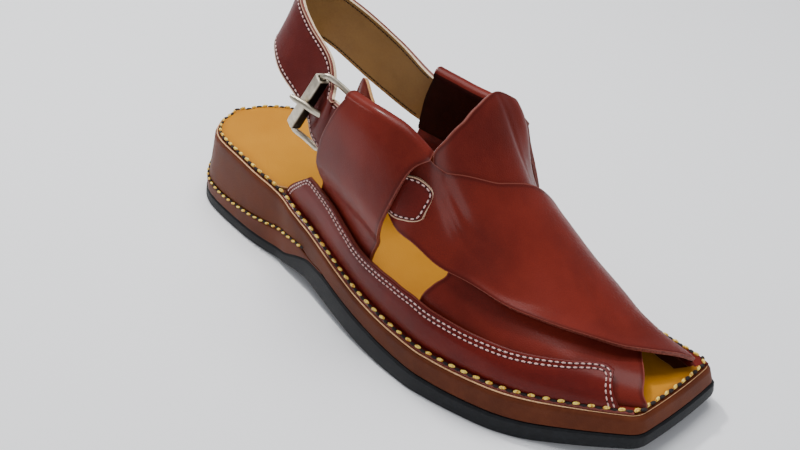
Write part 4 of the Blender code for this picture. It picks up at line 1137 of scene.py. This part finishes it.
def on_buckle(forward, height, out):
    return BUCKLE_CENTRE + buckle_forward * forward + buckle_up * height + buckle_out * out


def shaded_side(piece, amount=1.0):
    """Marks the points whose faces look forward, where the plating is painted dark as painted shade."""
    count = len(piece.data.vertices)
    normals = np.zeros(count * 3)
    piece.data.vertex_normals.foreach_get("vector", normals)
    facing = normals.reshape(-1, 3) @ buckle_forward - 0.35 * (normals.reshape(-1, 3) @ buckle_out)
    layer = piece.data.attributes.new("shaded_side", "FLOAT", "POINT")
    layer.data.foreach_set("value", np.clip(facing * 2.2 - 0.3, 0, 1) * amount)


def on_frame(forward, height):
    bow = FRAME_BOW * math.sin(math.pi * min(max(forward / BUCKLE_REACH, 0), 1))
    return on_buckle(forward, height, bow)


frame_path = []
near_centre, bar_centre = FRAME_CORNER, BUCKLE_REACH - FRAME_CORNER
for centre, side_up, start in ((bar_centre, 1, 0), (near_centre, 1, 90),
                               (near_centre, -1, 180), (bar_centre, -1, 270)):
    for a in range(start, start + 91, 15):
        frame_path.append(on_frame(centre + FRAME_CORNER * math.cos(math.radians(a)),
                                   side_up * (BUCKLE_HALF - FRAME_CORNER)
                                   + FRAME_CORNER * math.sin(math.radians(a))))
    if start in (0, 180):
        for part in (0.2, 0.4, 0.6, 0.8):
            other = near_centre + bar_centre - centre
            frame_path.append(on_frame(centre + (other - centre) * part, side_up * BUCKLE_HALF))
frame_wire = swept("buckle_wire_frame", frame_path, FRAME_WIRE, nickel, closed=True, sides=4)
for v in frame_wire.data.vertices:
    away = float(np.dot(np.array(v.co) + ORIGIN - BUCKLE_CENTRE, buckle_out))
    v.co -= Vector(buckle_out) * (away * FRAME_FLAT)
# Painted shade on the frame wire's forward-looking faces.
shaded_side(frame_wire, 0.6)
belongs(frame_wire, "metal", "buckle_frame")

PRONG_HOOK = [(0.967, -0.200), (0.733, -0.733), (0.000, -1.033), (-0.733, -0.733), (-1.033, -0.100)]
PRONG_ARM = [(0.739, 0.0014, 0.0012), (0.558, 0.0032, 0.0018), (0.303, 0.0044, 0.0018),
             (0.000, 0.0046, 0.0013), (-0.220, 0.0042, 0.0002), (-0.420, 0.0034, -0.0010)]
wires = FRAME_WIRE + PRONG_WIRE + GAP
prong_points = [on_buckle(BUCKLE_REACH + wires * f, 0, wires * o) for f, o in PRONG_HOOK]
prong_points += [on_buckle(BUCKLE_REACH * f, u, o) for f, o, u in PRONG_ARM]
prong_line = spline_rows(np.array(prong_points)[:, None], 6)[:, 0]
taper = np.interp(np.linspace(0, 1, len(prong_line)), [0, 0.75, 0.93, 1], [1, 1.25, 1.2, 0.8])
prong = swept("buckle_bent_prong", prong_line, PRONG_WIRE, nickel, radii=taper, sides=4)
# Painted shade on the prong's forward-looking faces.
shaded_side(prong, 0.6)
belongs(prong, "metal", "buckle_prong")
print("buckle wire points:", len(frame_path), "prong points:", len(prong_line))

# %% [markdown]
# The roller is a cylinder primitive pressed square, hollow for the wire, with its rims rounded.

# %% Roller
handed = np.dot(np.cross(buckle_up, buckle_forward), buckle_out) > 0
ROLLER_TURN = ROLLER_LEAN if handed else -ROLLER_LEAN
SQUARENESS, SQUARE_SCALE = 6, 0.92


def square_roller():
    nothing_selected()
    span = BUCKLE_HALF - FRAME_WIRE - ROLLER_CLEAR
    bpy.ops.mesh.primitive_cylinder_add(vertices=48, radius=ROLLER_SIDE / 2, depth=span * 2,
                                        end_fill_type="NOTHING")
    piece = bpy.context.object
    piece.name = piece.data.name = "buckle_square_roller"
    frame_axes = Matrix((buckle_forward, np.cross(buckle_up, buckle_forward), buckle_up)).transposed()
    turned = Matrix.Rotation(ROLLER_TURN, 3, "Z")
    for v in piece.data.vertices:
        c, s = v.co.x / (ROLLER_SIDE / 2), v.co.y / (ROLLER_SIDE / 2)
        grow = (abs(c) ** SQUARENESS + abs(s) ** SQUARENESS) ** (-1 / SQUARENESS) * SQUARE_SCALE
        flat = Vector((v.co.x * grow, v.co.y * grow, v.co.z))
        v.co = frame_axes @ (turned @ flat) + Vector(BUCKLE_CENTRE - ORIGIN)
    wall_mod = piece.modifiers.new("wall", "SOLIDIFY")
    wall_mod.thickness = ROLLER_SIDE / 2 - FRAME_WIRE - 0.0004
    wall_mod.offset = -1
    bpy.ops.object.modifier_apply(modifier=wall_mod.name)
    piece.data.materials.append(nickel)
    rounded(piece, 0.0004, 3, 60)
    # Painted shade: the roller's forward-looking faces are painted dark.
    shaded_side(piece)
    return belongs(piece, "metal", "buckle_roller")


roller = square_roller()
print("roller faces:", len(roller.data.polygons))

# %% [markdown]
# The chape is a narrow strip that wraps the bar and runs back behind the outer leg, red on both faces
# with tan cut edges.

# %% Chape
CHAPE_OUTER = [(0.4700, 0.4600, -0.640, -0.740, 0.0014), (0.4480, 0.4330, -0.635, -0.755, 0.0014)]
CHAPE_INNER = [(0.4330, 0.4300, -0.500, -0.775, -0.0042), (0.4480, 0.4450, -0.456, -0.780, -0.0030),
               (0.4780, 0.4700, -0.500, -0.780, -0.0018), (0.5050, 0.4900, -0.540, -0.760, -0.0016)]


def chape_rows(w):
    rows = [tunnel_row(row, w) for row in CHAPE_OUTER]
    radius = FRAME_WIRE + 2 * GAP + CHAPE_THICK / 2
    for angle in (80, 125, 180, 235, 280):
        a = math.radians(angle)
        spot = on_buckle(BUCKLE_REACH + radius * math.cos(a), 0, radius * math.sin(a))
        rows.append(spot + buckle_up * (CHAPE_WIDTH * (0.5 - w))[:, None])
    return np.array(rows + [tunnel_row(row, w) for row in CHAPE_INNER])


chape_middle = spline_rows(chape_rows(np.linspace(0, 1, 11)), 8)
chape_out = ribbon_normal(chape_middle)
bar_row = len(chape_middle) // 2 - 4
if np.dot(chape_out[bar_row].mean(axis=0), chape_middle[bar_row].mean(axis=0)
          - on_buckle(BUCKLE_REACH, 0, 0)) < 0:
    chape_out = -chape_out
chape_half = chape_out * CHAPE_THICK / 2
chape = grown("buckle_chape_strip", [chape_middle - chape_half, chape_middle + chape_half],
              [cherry, edge_tan, cherry])
mark(chape, "edge_near", edge_near(chape_middle, 0.002))
belongs(rounded(chape, 0.0003, 2, 50), "strap", "buckle_chape")
print("chape rows:", len(chape_middle))

# %% [markdown]
# Stitches are modelled once, as a small waxed bead that dips at both ends, and copied along a line.
# Every copy keeps its own mesh, and a whole row is joined into one piece.

# %% Rows of stitches
def read_off(at, run, values):
    """Values at some lengths along a line."""
    return np.stack([np.interp(at, run, values[:, k]) for k in range(values.shape[1])], axis=1)


def paced(points, normals, pitch, closed=False):
    """Evenly spaced spots along a line, with the way along it and the way up."""
    points, normals = np.asarray(points), np.asarray(normals)
    if closed:
        points, normals = np.concatenate([points, points[:1]]), np.concatenate([normals, normals[:1]])
    run = lengths(points)
    count = max(2, int(round(run[-1] / pitch)))
    at = (np.arange(count) + 0.5) * run[-1] / count
    ahead = read_off(at + pitch * 0.4, run, points) - read_off(at - pitch * 0.4, run, points)
    return read_off(at, run, points), unit(ahead), unit(read_off(at, run, normals))


def bead_row(name, runs, size, look, slot_name, slant=0.0, shift=0.0, segments=8, rings=6):
    """runs are the results of paced; size is length, width and height of one bead."""
    nothing_selected()
    bpy.ops.mesh.primitive_uv_sphere_add(segments=segments, ring_count=rings, radius=0.5)
    bead = bpy.context.object
    bead.data.materials.append(look)
    bpy.ops.object.shade_smooth()
    bead.data.transform(Matrix.Rotation(math.radians(90), 4, "Y"))
    copies = []
    for spots, ways, ups in runs:
        for spot, way, rise in zip(spots, ways, ups):
            rise = unit(rise - way * np.dot(rise, way))
            aside = np.cross(rise, way)
            c, s = math.cos(slant), math.sin(slant)
            long_way, wide_way = c * way + s * aside, c * aside - s * way
            axes = Matrix((long_way * size[0], wide_way * size[1], rise * size[2])).transposed().to_4x4()
            axes.translation = Vector(spot + rise * shift - ORIGIN)
            copy = bpy.data.objects.new(name, bead.data.copy())
            copy.data.transform(axes)
            bpy.context.scene.collection.objects.link(copy)
            copies.append(copy)
    bpy.data.objects.remove(bead)
    nothing_selected()
    for copy in copies:
        copy.select_set(True)
    bpy.context.view_layer.objects.active = copies[0]
    bpy.ops.object.join()
    row = bpy.context.object
    row.name = row.data.name = name
    return belongs(row, slot_name)


def waxed_row(name, spots, slot_name, half_pitch, stitch, hole, slant, shift):
    """Waxed stitches, and between them dark beads, painted shade for the needle holes."""
    bead_row(name + "es", [spots], stitch, waxed_yellow, slot_name, slant=slant, shift=shift)
    between = (spots[0] + spots[1] * half_pitch, spots[1], spots[2])
    bead_row(name + "_holes", [between], hole, needle_hole_shade, slot_name)


RIM_ROW_INSET, RIM_PITCH = 0.0023, 0.0060
rim_row = border(level(lambda s: 0 * s - RIM_ROW_INSET, lambda s: rim_height(s) + INSOLE_SHOWN,
                       rows=300, across=24))
rim_spots = paced(rim_row, np.tile([0, 0, 1.0], (len(rim_row), 1)), RIM_PITCH, closed=True)
waxed_row("rim_stitch", rim_spots, "upper", RIM_PITCH / 2, stitch=(0.0031, 0.0014, 0.0017),
          hole=(0.0032, 0.0018, 0.0012), slant=0.22, shift=0.0004)
print("rim stitches:", len(rim_spots[0]))

# %% [markdown]
# The lower row of yellow stitches runs round the heel in the groove above the heel strip and ends
# where the arch begins.

# %% Heel stitches
HEEL_ROW = [(0.000, 0.335), (0.100, 0.325), (0.180, 0.360), (0.250, 0.415), (0.300, 0.470), (0.368, 0.515)]


def heel_row_height(s):
    return HEEL_RIM * column(HEEL_ROW, s, 1)


heel_loop = border(level(lambda s: wall_at(s, heel_row_height(s)) + 0.0003, heel_row_height,
                         rows=300, across=24))
start = int(np.argmax(heel_loop[:, 0] / LENGTH > 0.5))
heel_line = np.roll(heel_loop, -start, axis=0)
heel_line = heel_line[heel_line[:, 0] / LENGTH < HEEL_ROW[-1][0]]
outward = unit(np.gradient(heel_line, axis=0))
outward = np.stack([outward[:, 1], -outward[:, 0], 0 * outward[:, 0]], axis=1)
HEEL_PITCH, HEEL_HOLE_AHEAD = 0.0050, 0.0026
heel_spots = paced(heel_line, outward, HEEL_PITCH)
waxed_row("heel_stitch", heel_spots, "rand", HEEL_HOLE_AHEAD, stitch=(0.0031, 0.0012, 0.0014),
          hole=(0.0026, 0.0013, 0.0011), slant=0.2, shift=0.0003)
print("heel stitches:", len(heel_spots[0]))

# %% [markdown]
# Fine white stitches follow the edges of the bands, the strap and the chape. A line is a path through
# the rows and columns of the surface that it lies on, so it keeps its distance from the edge.

# %% Fine stitches
def at_grid(grid, i, j):
    """Points of a grid at fractional rows and columns."""
    i, j = np.broadcast_arrays(np.asarray(i, float), np.asarray(j, float))
    i0 = np.clip(i.astype(int), 0, grid.shape[0] - 2)
    j0 = np.clip(j.astype(int), 0, grid.shape[1] - 2)
    a, b = (i - i0)[..., None], (j - j0)[..., None]
    near = grid[i0, j0] * (1 - b) + grid[i0, j0 + 1] * b
    far = grid[i0 + 1, j0] * (1 - b) + grid[i0 + 1, j0 + 1] * b
    return near * (1 - a) + far * a


def place_at(run, away):
    """Fractional index where a growing run of lengths reaches a distance."""
    return np.interp(away, run, np.arange(len(run)))


def framed_path(grid, away, first_col):
    """Rows and columns of a path along a grid's last column, at a distance from three of its edges."""
    rows, cols = grid.shape[:2]
    middle = lengths(grid[:, cols // 2])
    i0, i1 = place_at(middle, away), place_at(middle, middle[-1] - away)
    i = np.linspace(i0, i1, rows)
    crossings = [lengths(at_grid(grid, r, np.arange(cols))) for r in i]
    j = np.array([place_at(run, run[-1] - away) for run in crossings])
    lead = np.linspace(first_col, j[0], 12)[:-1]
    tail = np.linspace(j[-1], first_col, 12)[1:]
    return np.concatenate([0 * lead + i0, i, 0 * tail + i1]), np.concatenate([lead, j, tail])


def softened(points, normals, step=0.0005, reach=9):
    """The same path with rounded corners."""
    run = lengths(points)
    at = np.linspace(0, run[-1], max(8, int(run[-1] / step)))
    out = []
    for values in (points, normals):
        even = read_off(at, run, values)
        for again in range(2):
            first, last = np.repeat(even[:1], reach // 2, 0), np.repeat(even[-1:], reach // 2, 0)
            longer = np.concatenate([first, even, last])
            even = np.stack([np.convolve(longer[:, k], np.ones(reach) / reach, "valid")
                             for k in range(3)], axis=1)
        out.append(even)
    return out[0], unit(out[1])


FINE_PITCH, FINE_STITCH, FINE_HOLE = 0.0026, (0.0019, 0.0008, 0.0007), (0.0007, 0.0011, 0.0004)


def fine_row(name, lines, look, slot_name, pitch=FINE_PITCH, size=FINE_STITCH):
    """lines hold points and normals; between two stitches a small dark bead is painted shade for the needle
    hole.
    """
    spots = [paced(*softened(points, normals), pitch) for points, normals in lines]
    bead_row(name, spots, size, look, slot_name, shift=0.0001, segments=6, rings=4)
    between = [(p + w * pitch / 2, w, n) for p, w, n in spots]
    bead_row(name + "_holes", between, FINE_HOLE, needle_hole_shade, slot_name, segments=5, rings=3)


def surface_line(skin, outward, i, j):
    return at_grid(skin, i, j), unit(at_grid(outward, i, j))


BAND_ROWS_AWAY, BAND_FOOT_COL = (0.0019, 0.0038), 2
band_lines = []
for sign, rows, last in BANDS.values():
    skin = band_surface(np.linspace(0, 1, 41), sign, rows, last)
    outward = ribbon_normal(skin)
    outward = outward * np.sign(outward[..., 1:2].mean() * sign)
    for away in BAND_ROWS_AWAY:
        band_lines.append(surface_line(skin, outward, *framed_path(skin, away, BAND_FOOT_COL)))
fine_row("band_stitches", band_lines, fine_white, "upper")

STRAP_ROW_START, LINING_ROW_STOP, TAB_MARGIN = 20, 0.62, 0.0019
# Shares across: each row's distance from the edge, and where the row round the tab turns.
STRAP_SIDE, TAB_CORNER, LINING_SIDE, CHAPE_SIDE = 0.07, 0.12, 0.06, 0.08
last_row, last_col = strap_middle.shape[0] - 1, strap_middle.shape[1] - 1
strap_skin = strap_middle + strap_out * STRAP_THICK / 2
down_the_strap = lengths(strap_skin[:, last_col // 2])
tab_end = place_at(down_the_strap, down_the_strap[-1] - TAB_MARGIN)
i = np.concatenate([np.linspace(STRAP_ROW_START, tab_end, 300), np.full(10, tab_end),
                    np.linspace(tab_end, STRAP_ROW_START, 300)])
j = np.concatenate([np.full(300, STRAP_SIDE), np.linspace(TAB_CORNER, 1 - TAB_CORNER, 10),
                    np.full(300, 1 - STRAP_SIDE)]) * last_col
fine_row("strap_stitches", [surface_line(strap_skin, strap_out, i, j)], fine_white, "strap")
strap_inside = strap_middle - strap_out * STRAP_THICK / 2
i = np.linspace(STRAP_ROW_START, last_row * LINING_ROW_STOP, 200)
lining_lines = [surface_line(strap_inside, -strap_out, i, 0 * i + w * last_col)
                for w in (LINING_SIDE, 1 - LINING_SIDE)]
fine_row("lining_stitches", lining_lines, fine_dark, "strap")
chape_skin = chape_middle + chape_out * CHAPE_THICK / 2
i = np.linspace(0, len(chape_skin) - 1, 120)
chape_lines = [surface_line(chape_skin, chape_out, i, 0 * i + w * (chape_skin.shape[1] - 1))
               for w in (CHAPE_SIDE, 1 - CHAPE_SIDE)]
fine_row("chape_stitches", chape_lines, fine_white, "strap", pitch=0.0022, size=(0.0015, 0.0008, 0.0007))
print("fine stitch lines:", len(band_lines) + 1 + len(lining_lines) + len(chape_lines))
